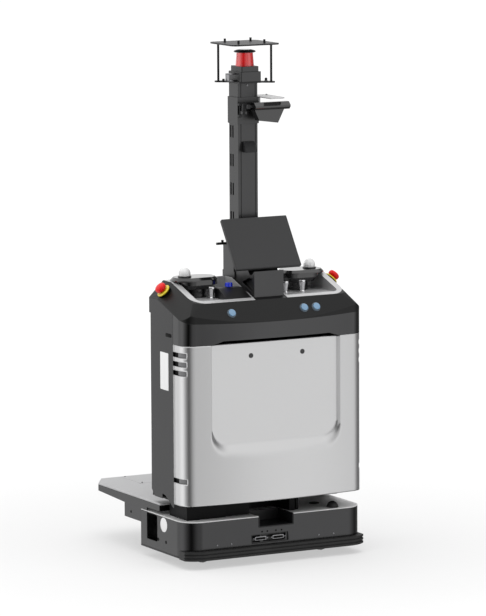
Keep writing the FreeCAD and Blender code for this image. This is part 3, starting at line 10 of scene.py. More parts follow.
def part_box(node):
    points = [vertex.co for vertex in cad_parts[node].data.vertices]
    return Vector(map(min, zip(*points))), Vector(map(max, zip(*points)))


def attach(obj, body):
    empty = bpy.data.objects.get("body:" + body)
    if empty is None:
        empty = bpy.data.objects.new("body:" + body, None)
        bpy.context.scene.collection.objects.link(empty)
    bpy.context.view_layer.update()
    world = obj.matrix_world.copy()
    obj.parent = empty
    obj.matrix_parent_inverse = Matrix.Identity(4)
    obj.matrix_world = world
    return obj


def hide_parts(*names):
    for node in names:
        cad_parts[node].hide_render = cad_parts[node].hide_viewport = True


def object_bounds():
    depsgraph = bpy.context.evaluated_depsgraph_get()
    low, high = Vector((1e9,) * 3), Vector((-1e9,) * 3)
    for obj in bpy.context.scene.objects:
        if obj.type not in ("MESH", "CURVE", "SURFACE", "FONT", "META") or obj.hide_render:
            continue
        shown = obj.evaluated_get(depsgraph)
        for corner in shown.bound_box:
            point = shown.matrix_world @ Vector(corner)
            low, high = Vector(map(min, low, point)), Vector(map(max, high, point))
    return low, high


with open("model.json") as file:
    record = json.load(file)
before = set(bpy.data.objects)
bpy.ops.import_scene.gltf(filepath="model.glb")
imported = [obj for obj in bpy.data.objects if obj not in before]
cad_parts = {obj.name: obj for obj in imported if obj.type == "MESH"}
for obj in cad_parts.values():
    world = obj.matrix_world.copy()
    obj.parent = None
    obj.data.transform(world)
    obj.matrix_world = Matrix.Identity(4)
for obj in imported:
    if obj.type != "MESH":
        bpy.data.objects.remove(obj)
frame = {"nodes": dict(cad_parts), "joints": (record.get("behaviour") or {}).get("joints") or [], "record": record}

nodes = frame["nodes"]
joints = {joint["name"]: joint for joint in frame["joints"]}
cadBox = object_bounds()
mm = 0.001
print("frame loaded:", len(nodes), "nodes")


# shader maths

class Wire:
    # one output socket of a material; an expression on wires adds its Math nodes
    def __init__(self, tree, socket):
        self.tree = tree
        self.socket = socket

    def node(self, kind, settings, inputs, out=0):
        made = self.tree.nodes.new("ShaderNode" + kind)
        for name, value in settings.items():
            if name == "stops":
                ramp = made.color_ramp
                while len(ramp.elements) < len(value):
                    ramp.elements.new(1)
                for element, (place, colour) in zip(ramp.elements, value):
                    element.position = place
                    element.color = colour
            else:
                setattr(made, name, value)
        for name, value in inputs.items():
            if isinstance(value, Wire):
                self.tree.links.new(value.socket, made.inputs[name])
            else:
                made.inputs[name].default_value = value
        return Wire(self.tree, made.outputs[out])

    def maths(self, operation, *values):
        return self.node("Math", {"operation": operation}, dict(enumerate(values)))

    def __add__(self, other):
        return self.maths("ADD", self, other)

    def __radd__(self, other):
        return self.maths("ADD", other, self)

    def __sub__(self, other):
        return self.maths("SUBTRACT", self, other)

    def __rsub__(self, other):
        return self.maths("SUBTRACT", other, self)

    def __mul__(self, other):
        return self.maths("MULTIPLY", self, other)

    def __rmul__(self, other):
        return self.maths("MULTIPLY", other, self)

    def __truediv__(self, other):
        return self.maths("DIVIDE", self, other)

    def __pow__(self, other):
        return self.maths("POWER", self, other)


def noise(place, scale, detail=2):
    return place.node("TexNoise", {}, {"Vector": place, "Scale": scale, "Detail": detail})


def cells(place, scale):
    return place.node("TexVoronoi", {}, {"Vector": place, "Scale": scale}, "Distance")


def stretched(place, scale, centre=(0, 0, 0)):
    moved = tuple(-c * s for c, s in zip(centre, scale))
    return place.node("Mapping", {}, {"Vector": place, "Location": moved, "Scale": scale})


def ramp(value, low, high):
    # 0 below low, 1 above high, smooth between
    limits = {"Value": value, "From Min": low, "From Max": high}
    return value.node("MapRange", {"interpolation_type": "SMOOTHSTEP"}, limits)


def mixed(mask, first, second):
    return mask.node("Mix", {"data_type": "RGBA"}, {0: mask, 6: first, 7: second}, 2)


def bump(height, strength, distance):
    return height.node("Bump", {}, {"Height": height, "Strength": strength, "Distance": distance})


def grey(level, share=1.0):
    return (level * share, level * share, level * share, 1)


def toned(colour, share):
    return tuple(min(1, c * share) for c in colour[:3]) + (1,)


def newMaterial(name, fixed):
    # fixed values go straight onto the shader's own sockets
    made = bpy.data.materials.new(name)
    made.use_nodes = True
    shader = made.node_tree.nodes["Principled BSDF"]
    for socket, value in fixed.items():
        shader.inputs[socket].default_value = value
    coords = made.node_tree.nodes.new("ShaderNodeTexCoord")
    return made, Wire(made.node_tree, coords.outputs["Object"])


def feed(made, wires):
    shader = made.node_tree.nodes["Principled BSDF"]
    for socket, wire in wires.items():
        made.node_tree.links.new(wire.socket, shader.inputs[socket])
    return made


# finishes

def paint(name, colour, rough=0.45, metallic=0.0, grain=1400, depth=0.00004, speckle=0.06, coat=0.0,
          shine=0.5):
    # sprayed or powder coated metal: fine grain, faint clouding and a slightly uneven sheen
    fixed = {"Metallic": metallic, "Coat Weight": coat, "Coat Roughness": 0.15,
             "Specular IOR Level": shine}
    made, place = newMaterial(name, fixed)
    fine = noise(place, grain, 3)
    cloud = noise(place, 6, 3)
    tone = ramp(fine * 0.5 + cloud * 0.5, 0.3, 0.7)
    base = mixed(tone, toned(colour, 1 - speckle), toned(colour, 1 + speckle))
    return feed(made, {
        "Base Color": base,
        "Roughness": rough - 0.04 + cloud * 0.08,
        "Normal": bump(fine, 0.35, depth),
    })


def flakePaint(name, colour, rough):
    # silver paint: flakes that catch the light one by one under a thin clear coat
    fixed = {"Metallic": 0.92, "Coat Weight": 0.25, "Coat Roughness": 0.25}
    made, place = newMaterial(name, fixed)
    flake = cells(place, 2600)
    cloud = noise(place, 5, 2)
    glint = ramp(flake, 0.1, 0.75)
    base = mixed(glint, toned(colour, 1.05), toned(colour, 0.93))
    return feed(made, {
        "Base Color": base,
        "Roughness": rough + glint * 0.05 + cloud * 0.03,
        "Normal": bump(flake, 0.12, 0.00003),
    })


def plastic(name, colour, rough=0.3, grain=700, depth=0.00005, coat=0.0, extra=None):
    # moulded plastic with a fine spark-eroded grain
    fixed = {"Coat Weight": coat, "Coat Roughness": 0.06, "IOR": 1.48}
    fixed.update(extra or {})
    made, place = newMaterial(name, fixed)
    fine = noise(place, grain, 4)
    cloud = noise(place, 9, 2)
    return feed(made, {
        "Base Color": mixed(cloud, toned(colour, 0.93), toned(colour, 1.07)),
        "Roughness": rough - 0.03 + fine * 0.06,
        "Normal": bump(fine, 0.3, depth),
    })


def brushed(name, colour, rough, along, metallic=1.0):
    # metal with drawn lines along one axis and faint handling marks
    made, place = newMaterial(name, {"Metallic": metallic})
    scale = tuple(30 if axis == along else 2200 for axis in "XYZ")
    lines = noise(stretched(place, scale), 1, 3)
    cloud = noise(place, 14, 3)
    return feed(made, {
        "Base Color": mixed(lines, toned(colour, 0.9), toned(colour, 1.08)),
        "Roughness": rough + lines * 0.08 + cloud * 0.06,
        "Normal": bump(lines, 0.25, 0.00002),
    })


def rubber(name, colour):
    made, place = newMaterial(name, {"IOR": 1.45})
    fine = noise(place, 900, 4)
    dust = noise(place, 22, 4)
    return feed(made, {
        "Base Color": mixed(ramp(dust, 0.45, 0.8), colour, toned(colour, 1.5)),
        "Roughness": 0.55 + fine * 0.15,
        "Normal": bump(fine, 0.5, 0.00008),
    })


def wheelFinish(name, centre, hub, tread, hubRadius, rough=0.5):
    # tread outside, machined hub inside, told apart by distance from the axle
    made, place = newMaterial(name, {})
    level = stretched(place, (0, 1, 1), centre)
    distance = level.node("VectorMath", {"operation": "LENGTH"}, {0: level}, "Value")
    outer = ramp(distance, hubRadius - 0.0004, hubRadius + 0.0004)
    fine = noise(place, 800, 4)
    rings = noise(stretched(place, (400, 1, 1)), 1, 2)
    return feed(made, {
        "Base Color": mixed(outer, hub, mixed(rings, toned(tread, 0.85), toned(tread, 1.2))),
        "Metallic": 1 - outer,
        "Roughness": rough - 0.15 + outer * 0.2 + fine * 0.1,
        "Normal": bump(fine, 0.35, 0.00006),
    })


def opal(name):
    # frosted diffuser: milky body, faint inner shading, smooth skin
    fixed = {"Transmission Weight": 0.25, "Subsurface Weight": 0.5, "Subsurface Scale": 0.012,
             "Subsurface Radius": (1, 1, 1), "IOR": 1.45, "Coat Weight": 0.5, "Coat Roughness": 0.1}
    made, place = newMaterial(name, fixed)
    milk = noise(place, 60, 2)
    return feed(made, {
        "Base Color": mixed(milk, grey(0.72), grey(0.86)),
        "Roughness": 0.3 + milk * 0.08,
        "Normal": bump(noise(place, 500, 2), 0.1, 0.00003),
    })


def glossyWindow(name, colour):
    # deep tinted polycarbonate with a slight waviness
    fixed = {"Coat Weight": 1.0, "Coat Roughness": 0.03, "IOR": 1.58, "Specular IOR Level": 0.6}
    made, place = newMaterial(name, fixed)
    wave = noise(stretched(place, (1, 1, 0.25)), 70, 2)
    return feed(made, {
        "Base Color": mixed(wave, toned(colour, 0.75), toned(colour, 1.2)),
        "Roughness": 0.07 + wave * 0.05,
        "Normal": bump(wave, 0.15, 0.0004),
    })


black = (0.010, 0.010, 0.011, 1)

finish = {
    "panelPaint": paint("panelPaint", (0.040, 0.040, 0.041, 1), 0.26, 1.0),
    "bandPaint": paint("bandPaint", (0.064, 0.064, 0.065, 1), 0.16, 1.0),
    "basePaint": paint("basePaint", (0.055, 0.055, 0.056, 1), 0.22, 1.0),
    "mastPaint": paint("mastPaint", (0.070, 0.070, 0.071, 1), 0.36, 1.0),
    "screenPaint": paint("screenPaint", (0.040, 0.040, 0.041, 1), 0.5, 0.6, 2200, 0.00001, 0.03),
    "consolePaint": paint("consolePaint", (0.0035, 0.0035, 0.0036, 1), 0.30, 0.0, 1100, 0.00003, 0.08,
                          0.0, 0.25),
    "silverPaint": flakePaint("silverPaint", (0.53, 0.53, 0.533, 1), 0.24),
    "traySilver": paint("traySilver", (0.50, 0.50, 0.505, 1), 0.34, 0.45, 1600, 0.00003, 0.04),
    "deckPaint": paint("deckPaint", (0.40, 0.40, 0.405, 1), 0.5, 0.1, 900, 0.00006, 0.04),
    "platePaint": paint("platePaint", (0.62, 0.62, 0.62, 1), 0.45, 0.1, 900, 0.00004, 0.04),
    "plateZinc": brushed("plateZinc", (0.55, 0.55, 0.56, 1), 0.34, "X", 0.9),
    "blackCoat": paint("blackCoat", black, 0.40, 0.0, 1400, 0.00004, 0.06, 0.0, 0.3),
    # frames under the body: their own black deepened with painted shade, darker and duller than blackCoat
    "neckBlackAndShade": paint("neckBlackAndShade", (0.004, 0.004, 0.0042, 1), 0.5, 0.0, 1400, 0.00004, 0.06, 0.0, 0.1),
    "glossBlack": plastic("glossBlack", (0.006, 0.006, 0.0065, 1), 0.10, 300, 0.00001, 0.7),
    "blackPlastic": plastic("blackPlastic", (0.009, 0.009, 0.0095, 1), 0.33),
    "bumperRubber": rubber("bumperRubber", (0.010, 0.010, 0.010, 1)),
    "steel": brushed("steel", (0.72, 0.72, 0.73, 1), 0.12, "Z"),
    "steelDark": brushed("steelDark", (0.30, 0.30, 0.31, 1), 0.3, "X"),
    "batteryCase": plastic("batteryCase", (0.05, 0.05, 0.055, 1), 0.5),
    "bluePlastic": plastic("bluePlastic", (0.010, 0.030, 0.55, 1), 0.2, 400, 0.00001, 0.5),
    "stopRed": plastic("stopRed", (0.62, 0.004, 0.005, 1), 0.3, 400, 0.00001, 0.1,
                       {"Specular IOR Level": 0.25}),
    "stopYellow": plastic("stopYellow", (0.62, 0.50, 0.02, 1), 0.35, 400, 0.00002, 0.2),
    "labelWhite": plastic("labelWhite", (0.75, 0.75, 0.75, 1), 0.4, 500, 0.00001),
    "bezelGrey": plastic("bezelGrey", (0.10, 0.13, 0.16, 1), 0.25, 500, 0.00002, 0.3),
    "plugDark": plastic("plugDark", (0.035, 0.035, 0.036, 1), 0.4, 500, 0.00002),
    "ventGrey": plastic("ventGrey", (0.16, 0.16, 0.165, 1), 0.4, 500, 0.00002),
    "deepBlack": plastic("deepBlack", (0.002, 0.002, 0.002, 1), 0.6, 500, 0.00002, 0.0,
                         {"Specular IOR Level": 0.1}),
    "opal": opal("opal"),
    "redWindow": glossyWindow("redWindow", (0.80, 0.012, 0.014, 1)),
    "lensBlue": glossyWindow("lensBlue", (0.10, 0.23, 0.38, 1)),
}

carried = {
    "panelPaint": ["rear_panel", "side_panel_left", "side_panel_right"],
    "bandPaint": ["front_band"],
    "basePaint": ["base_pan", "deck_skirt"],
    "mastPaint": ["mast_profile", "mast_foot", "mast_collar", "pedestal", "rangefinder_base"],
    "screenPaint": ["screen_panel"],
    "consolePaint": ["console_shell"],
    "silverPaint": ["front_cover"],
    "traySilver": ["console_trays"],
    "deckPaint": ["deck_plate", "deck_hatch"],
    "platePaint": ["base_top_plate"],
    "plateZinc": ["caster_plates", "mirror_rotor"],
    "blackCoat": ["floor_plate", "rear_frame", "sensor_deck", "guard_posts", "guard_plate", "guard_studs",
                  "notch_liner", "scanner_arm", "camera_hood"],
    "neckBlackAndShade": ["neck_frame", "body_frame"],
    "glossBlack": ["sensor_pods", "scanner_head", "rangefinder_cap"],
    "blackPlastic": ["dock_socket", "blue_button_base"],
    "bumperRubber": ["bumper_strip", "rubber_buffers"],
    "steel": ["locating_posts"],
    "steelDark": ["drive_motors"] + ["caster_fork_%s_%s" % (end, side)
                                     for end in ("front", "rear") for side in ("left", "right")],
    "batteryCase": ["battery_pack"],
    "bluePlastic": ["blue_button"],
    "stopRed": ["stop_button_left", "stop_button_right"],
    "stopYellow": ["stop_collars"],
    "opal": ["signal_domes"],
    "redWindow": ["rangefinder_window"],
    "lensBlue": ["push_button_left", "push_button_centre", "push_button_right"],
}
for name, members in carried.items():
    for member in members:
        nodes[member].data.materials.clear()
        nodes[member].data.materials.append(finish[name])

for side in ("left", "right"):
    drive = "drive_wheel_" + side
    low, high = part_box(drive)
    made = wheelFinish(drive + "Finish", (low + high) / 2, grey(0.45), grey(0.03), 0.056)
    nodes[drive].data.materials.clear()
    nodes[drive].data.materials.append(made)
    for end in ("front", "rear"):
        caster = "caster_wheel_%s_%s" % (end, side)
        low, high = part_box(caster)
        made = wheelFinish(caster + "Finish", (low + high) / 2, grey(0.3), grey(0.035), 0.026)
        nodes[caster].data.materials.clear()
        nodes[caster].data.materials.append(made)
print("finishes:", len(finish))


# places: x across, y back from the front face of the base, z up, all in millimetres
baseLow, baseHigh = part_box("base_pan")
frontFace = baseLow.y / mm
halfWidth = baseHigh.x / mm


def spot(x, y, z):
    return Vector((x, frontFace + y, z)) * mm


def newPiece(name, bm, look, body="chassis", smooth=40):
    bmesh.ops.remove_doubles(bm, verts=bm.verts, dist=1e-6)
    bmesh.ops.recalc_face_normals(bm, faces=bm.faces)
    mesh = bpy.data.meshes.new(name)
    bm.to_mesh(mesh)
    bm.free()
    mesh.materials.append(finish[look])
    for face in mesh.polygons:
        face.use_smooth = True
    mesh.set_sharp_from_angle(angle=math.radians(smooth))
    made = bpy.data.objects.new(name, mesh)
    bpy.context.scene.collection.objects.link(made)
    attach(made, body)
    return made


def aim(place, along):
    # a transform that stands a piece made round Z on a place, pointing along a direction
    turn = Vector(along).to_track_quat("Z", "Y").to_matrix().to_4x4()
    return Matrix.Translation(place) @ turn


def spin(bm, profile, place, along=(0, 0, 1), steps=48):
    # turns an outline of (radius, height) in millimetres round its own axis
    first = [bm.verts.new((radius * mm, 0, height * mm)) for radius, height in profile]
    edges = [bm.edges.new(pair) for pair in zip(first, first[1:])]
    made = bmesh.ops.spin(bm, geom=first + edges, cent=(0, 0, 0), axis=(0, 0, 1), dvec=(0, 0, 0),
                          angle=2 * math.pi, steps=steps, use_merge=True, use_duplicate=False)
    bm.verts.index_update()
    fresh = set(first)
    stack = list(first)
    while stack:
        for edge in stack.pop().link_edges:
            for vert in edge.verts:
                if vert not in fresh:
                    fresh.add(vert)
                    stack.append(vert)
    bmesh.ops.transform(bm, matrix=aim(place, along), verts=list(fresh))
    return made


def block(bm, low, high, bevel=0.0, segments=2):
    # a box between two corners with its edges rounded, sizes in metres
    made = bmesh.ops.create_cube(bm, size=1)["verts"]
    size = Vector(high) - Vector(low)
    middle = (Vector(high) + Vector(low)) / 2
    bmesh.ops.scale(bm, vec=size, verts=made)
    bmesh.ops.translate(bm, vec=middle, verts=made)
    if bevel:
        edges = list({edge for vert in made for edge in vert.link_edges})
        bmesh.ops.bevel(bm, geom=edges, offset=bevel * mm, offset_type="OFFSET", affect="EDGES",
                        segments=segments, profile=0.5, material=-1)


def plate(bm, corners, thick, bevel=0.0):
    # a flat shape from corners in millimetres, given a thickness upwards
    flat = [bm.verts.new((x * mm, y * mm, 0)) for x, y in corners]
    face = bm.faces.new(flat)
    grown = bmesh.ops.extrude_face_region(bm, geom=[face])["geom"]
    top = [item for item in grown if isinstance(item, bmesh.types.BMVert)]
    bmesh.ops.translate(bm, vec=(0, 0, thick * mm), verts=top)
    if bevel:
        edges = [edge for edge in bm.edges if edge.verts[0] in top and edge.verts[1] in top]
        bmesh.ops.bevel(bm, geom=edges, offset=bevel * mm, offset_type="OFFSET", affect="EDGES",
                        segments=2, profile=0.5, material=-1)


def roundRect(width, height, radius, steps=6):
    corners = []
    for cx, cy, start in ((1, 1, 0), (-1, 1, 90), (-1, -1, 180), (1, -1, 270)):
        for step in range(steps + 1):
            angle = math.radians(start + 90 * step / steps)
            corners.append((cx * (width / 2 - radius) + radius * math.cos(angle),
                            cy * (height / 2 - radius) + radius * math.sin(angle)))
    return corners


trees = {}


def surface(node, origin, direction):
    # where a ray first meets a CAD node
    if node not in trees:
        mesh = nodes[node].data
        trees[node] = BVHTree.FromPolygons([v.co for v in mesh.vertices],
                                           [tuple(p.vertices) for p in mesh.polygons])
    return trees[node].ray_cast(Vector(origin), Vector(direction))[0]


softening = {
    "weld": 0.002, "flat": 0.3, "sharp": 25, "segments": 2, "hipRadius": 24, "hipSegments": 8,
}


def soften(node, width, hips=None):
    # a joined copy of a CAD node with its hard edges rounded, shown in its place
    mesh = nodes[node].data.copy()
    bm = bmesh.new()
    bm.from_mesh(mesh)
    bmesh.ops.remove_doubles(bm, verts=bm.verts, dist=softening["weld"] * mm)
    bmesh.ops.dissolve_limit(bm, angle_limit=math.radians(softening["flat"]), verts=bm.verts,
                             edges=bm.edges)
    if hips:
        edges = hips(bm)
        bmesh.ops.bevel(bm, geom=edges, offset=softening["hipRadius"] * mm, offset_type="OFFSET",
                        affect="EDGES", segments=softening["hipSegments"], profile=0.5, material=-1,
                        clamp_overlap=False)
    bm.to_mesh(mesh)
    bm.free()
    mesh.name = node + "Soft"
    for face in mesh.polygons:
        face.use_smooth = True
    made = bpy.data.objects.new(node + "Soft", mesh)
    bpy.context.scene.collection.objects.link(made)
    edges = made.modifiers.new("edges", "BEVEL")
    edges.width = width * mm
    edges.segments = softening["segments"]
    edges.limit_method = "ANGLE"
    edges.angle_limit = math.radians(softening["sharp"])
    edges.miter_outer = "MITER_ARC"
    even = made.modifiers.new("even", "WEIGHTED_NORMAL")
    even.keep_sharp = True
    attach(made, nodeBody(node))
    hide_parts(node)
    return made


def nodeBody(node):
    for body, members in frame["record"]["behaviour"]["bodies"].items():
        if node in members:
            return body


def outward(joint):
    # the way a key stands off its panel: against the joint's own pressing direction
    return -Vector(joints[joint]["axis"]).normalized()


def crest(node, direction):
    # the middle of a CAD node's face that lies furthest along a direction
    verts = [v.co.copy() for v in nodes[node].data.vertices]
    far = max(v.dot(direction) for v in verts)
    low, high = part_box(node)
    middle = (low + high) / 2
    tops = [v for v in verts if v.dot(direction) > far - 0.0002]
    mean = sum(tops, Vector()) / len(tops)
    return mean if len(tops) > 2 else middle + direction * (far - middle.dot(direction))


# front cover

cover = {
    "bowRadius": 2290, "bow": 20, "cornerX": 302, "cornerY": 48.4, "cornerRadius": 48, "tangent": 7.74,
    "backEdge": 85, "low": 218, "high": 768, "wall": 4.6,
    "recessX": 245, "recessLow": 422, "recessRadius": 62, "recessFloor": 7, "flareDown": 54,
    "flareSide": 8, "flareDepth": 32, "blend": 9,
    "slots": ((727, 744), (696, 713), (665, 682), (294, 311)), "slotStart": 44.2,
    "columns": 150, "rows": 110, "plugs": (-91, 109), "plugZ": 721, "plugRadius": 8.5,
}


def recessDepth(x, z):
    # how far back the recess lies, from a walk between its inner and outer outlines
    low, high = -1.5, 3.0
    for halving in range(18):
        level = (low + high) / 2
        wide = cover["recessX"] + cover["flareSide"] * level
        floor = cover["recessLow"] - cover["flareDown"] * level
        r = cover["recessRadius"]
        dx, dz = abs(x) - (wide - r), (floor + r) - z
        if dx > 0 and dz > 0:
            inside = math.hypot(dx, dz) < r
        else:
            inside = dx < r and dz < r
        if inside:
            high = level
        else:
            low = level
    level = max(0, (low + high) / 2)
    return cover["recessFloor"] - cover["flareDepth"] * level


def coverPoint(s, z, inset=0.0):
    # s runs from the left back edge (0) round the left corner (1 to 2), the front (2 to 3) and on to 5
    c = cover
    side = -1 if s < 2.5 else 1
    t = s if s < 2.5 else 5 - s
    r = c["cornerRadius"]
    turn = math.radians(90 - c["tangent"])
    if t < 1:
        return side * (c["cornerX"] + r - inset), c["backEdge"] + (c["cornerY"] - c["backEdge"]) * t
    if t < 2:
        angle = math.pi / 2 - turn * (t - 1)
        return (side * (c["cornerX"] + (r - inset) * math.sin(angle)),
                c["cornerY"] - (r - inset) * math.cos(angle))
    reach = c["cornerX"] + r * math.sin(math.radians(c["tangent"]))
    x = -reach + 2 * reach * (s - 2)
    bow = -c["bow"] + c["bowRadius"] - math.sqrt(c["bowRadius"] ** 2 - x * x)
    if inset:
        return x, bow + inset
    deep = recessDepth(x, z)
    near = max(c["blend"] - abs(bow - deep), 0) / c["blend"]
    return x, max(bow, deep) + near * near * c["blend"] / 4


def makeCover():
    c = cover
    turn = 90 - c["tangent"]
    slotEnd = 1 + (90 - c["slotStart"]) / turn
    stops = [0, 0.5] + [1 + (slotEnd - 1) * i / 8 for i in range(9)]
    stops += [slotEnd + (2 - slotEnd) * i / 8 for i in range(1, 9)]
    marks = stops + [2 + i / c["columns"] for i in range(1, c["columns"])]
    marks += [5 - s for s in reversed(stops)]
    levels = sorted({c["low"], c["high"]} | {z for pair in c["slots"] for z in pair}
                    | {c["low"] + (c["high"] - c["low"]) * i / c["rows"] for i in range(c["rows"])})
    kept = [levels[0]]
    edges = {z for pair in c["slots"] for z in pair} | {c["high"]}
    for z in levels[1:]:
        if z - kept[-1] < 2 and z in edges and kept[-1] not in edges and kept[-1] != c["low"]:
            kept[-1] = z
        elif z - kept[-1] >= 2:
            kept.append(z)
    bm = bmesh.new()
    grid = [[bm.verts.new(spot(*coverPoint(s, z), z)) for s in marks] for z in kept]
    for row, z in enumerate(kept[:-1]):
        middle = (z + kept[row + 1]) / 2
        open_ = any(low < middle < high for low, high in c["slots"])
        for column, s in enumerate(marks[:-1]):
            half = (s + marks[column + 1]) / 2
            if open_ and min(half, 5 - half) < slotEnd:
                continue
            bm.faces.new((grid[row][column], grid[row][column + 1],
                          grid[row + 1][column + 1], grid[row + 1][column]))
    bmesh.ops.delete(bm, geom=[v for v in bm.verts if not v.link_faces], context="VERTS")
    made = newPiece("frontCover", bm, "silverPaint", smooth=50)
    wall = made.modifiers.new("wall", "SOLIDIFY")
    wall.thickness = c["wall"] * mm
    wall.offset = -1
    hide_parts("front_cover")

    # inserts seen through the slots: near black at the back as painted shade, lighter towards the front
    for name, first, last, look in (("Dark", 0, 0.45, "deepBlack"), ("Light", 0.45, 1, "ventGrey")):
        bm = bmesh.new()
        for mirror in (False, True):
            for low, high in c["slots"]:
                rows = []
                for z in (low - 3, high + 3):
                    row = []
                    for i in range(9):
                        s = 0.02 + (slotEnd + 0.03) * (first + (last - first) * i / 8)
                        x, y = coverPoint(5 - s if mirror else s, z, 6.5)
                        row.append(bm.verts.new(spot(x, y, z)))
                    rows.append(row)
                for i in range(8):
                    bm.faces.new((rows[0][i], rows[0][i + 1], rows[1][i + 1], rows[1][i]))
        newPiece("slotInsert" + name, bm, look)

    bm = bmesh.new()
    r = c["plugRadius"]
    for x in c["plugs"]:
        spin(bm, [(0, 1.2), (r * 0.4, 1.2), (r * 0.5, 2.2), (r * 0.85, 2.0), (r, 0.8), (r, 0)],
             spot(x, c["recessFloor"], c["plugZ"]), (0, -1, 0))
    newPiece("coverPlugs", bm, "plugDark")


makeCover()
print("cover ready")


# softened copies of the folded, cast and moulded parts

softEdges = {
    "base_pan": 1.6, "side_panel_left": 0.8, "side_panel_right": 0.8, "front_band": 0.8, "rear_panel": 0.8,
    "base_top_plate": 0.8, "deck_plate": 1.6, "deck_hatch": 1.0, "deck_skirt": 0.8, "console_shell": 2.5,
    "console_trays": 0.6, "sensor_pods": 1.2, "pedestal": 1.4, "mast_foot": 1.2, "mast_profile": 0.9,
    "mast_collar": 0.7, "screen_panel": 1.5, "camera_hood": 1.0, "scanner_head": 2.0,
    "rangefinder_base": 1.6, "guard_plate": 0.5, "bumper_strip": 1.0, "dock_socket": 0.8,
    "battery_pack": 3.0, "blue_button_base": 1.5, "rubber_buffers": 1.0, "rangefinder_cap": 1.0,
    "blue_button": 1.0, "neck_frame": 0.8,
}


hip = {"fromMiddle": 0.25, "reachBack": 60, "rise": 0.3, "across": 0.2, "shortest": 0.02, "turn": 0.3}


def consoleHips(bm):
    # the two edges that climb from the front corners to the trays
    back = spot(0, hip["reachBack"], 0).y
    found = []
    for edge in bm.edges:
        if len(edge.link_faces) != 2:
            continue
        middle = (edge.verts[0].co + edge.verts[1].co) / 2
        way = (edge.verts[1].co - edge.verts[0].co).normalized()
        rising = abs(way.z) > hip["rise"] and abs(way.x) > hip["across"]
        corner = abs(middle.x) > hip["fromMiddle"] and middle.y < back
        clear = edge.calc_length() > hip["shortest"] and abs(edge.calc_face_angle_signed()) > hip["turn"]
        if rising and corner and clear:
            found.append(edge)
    return found


for node, width in softEdges.items():
    soften(node, width, hips=consoleHips if node == "console_shell" else None)
print("edges softened:", len(softEdges))


# keys and bezels

bezel = {"inner": 12.9, "outer": 16.5, "height": 4.2, "stand": 6.5, "lensRadius": 12.2, "lensRise": 1.1}


def makeBezels():
    b = bezel
    bm = bmesh.new()
    for side in ("left", "centre", "right"):
        way = outward("button_%s_press" % side)
        top = crest("push_button_" + side, way)
        spin(bm, [(b["inner"], -2), (b["inner"], b["height"] - 0.8), (b["inner"] + 0.8, b["height"]),
                  (b["outer"] - 1.5, b["height"] - 0.5), (b["outer"], 0.4), (b["outer"], -2)],
             top - way * b["stand"] * mm, way)
        lens = bmesh.new()
        r = b["lensRadius"]
        dome = [(r * math.sin(math.radians(a)), b["lensRise"] * math.cos(math.radians(a)))
                for a in range(0, 91, 10)]
        spin(lens, dome, top, way)
        newPiece("buttonLens" + side.capitalize(), lens, "lensBlue", "key_" + side)
    newPiece("buttonBezels", bm, "bezelGrey")


makeBezels()


# emergency stops

stop = {"radius": 20, "collarRadius": 25, "collarHeight": 4.5, "neckRadius": 13}


def makeStops():
    s = stop
    collars = bmesh.new()
    for side in ("left", "right"):
        way = outward("stop_%s_press" % side)
        top = crest("stop_button_" + side, way)
        r = s["radius"]
        bm = bmesh.new()
        spin(bm, [(0, 0.8), (r * 0.45, 0.4), (r * 0.75, -1.0), (r * 0.92, -3.5), (r, -7), (r, -13),
                  (r * 0.94, -16), (r * 0.75, -18.5), (s["neckRadius"], -20), (s["neckRadius"] - 2, -24),
                  (9, -25), (9, -32), (0, -32)], top, way, 64)
        made = newPiece("stopHead" + side.capitalize(), bm, "stopRed", "stop_" + side)
        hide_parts("stop_button_" + side)
        foot = top - way * 26 * mm
        R, h = s["collarRadius"], s["collarHeight"]
        spin(collars, [(9.5, -1), (9.5, h - 1.5), (12, h - 0.6), (R - 6, h), (R - 2.5, h - 0.8),
                       (R, h - 3), (R, -1)], foot, way, 64)
    made = newPiece("stopRings", collars, "stopYellow")
    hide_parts("stop_collars")


makeStops()
print("keys ready")


# small fittings

fittings = {
    "screwHead": 3.2, "baseScrews": (-229, -174, 167.5, 225.5), "baseScrewZ": 76.5,
    "dots": (-55, -34.5, -1, 21), "dotZ": 108.7, "dotRadius": 2.6,
    "latch": (97, 139, 789, 802), "label": (120, 180, 604, 733), "disc": (163.5, 133, 25),
    "holes": (("base_pan", 205, 76, 6), ("base_pan", 147, 75, 6), ("deck_skirt", 412, 140, 5)),
    "hatchInset": 12, "hatchScrew": 3.5,
    "plugShift": 34, "plugShell": (44, 13, 3), "plugFace": (38, 8, 2.5), "plugScrewX": 26, "plugScrew": 2.6,
}


def screwHead(bm, place, way, radius):
    # pan head with a socket in its middle
    spin(bm, [(0, radius * 0.25), (radius * 0.42, radius * 0.25), (radius * 0.5, radius * 0.62),
              (radius * 0.8, radius * 0.55), (radius, radius * 0.2), (radius, -0.5)], place, way, 20)


def onFace(node, origin, way):
    # the point of a node's skin that faces a spot outside it
    found = surface(node, Vector(origin) + Vector(way) * 0.3, -Vector(way))
    return found if found else Vector(origin)


def sheet(bm, corners, thick, place, along, bevel=0.0, up=(0, 0, 1)):
    # a flat plate whose own Y axis is kept near a chosen upward direction
    start = set(bm.verts)
    plate(bm, corners, thick, bevel)
    fresh = [vert for vert in bm.verts if vert not in start]
    ahead = Vector(along).normalized()
    right = Vector(up).cross(ahead).normalized()
    top = ahead.cross(right)
    turned = Matrix((right, top, ahead)).transposed().to_4x4()
    bmesh.ops.transform(bm, matrix=Matrix.Translation(place) @ turned, verts=fresh)


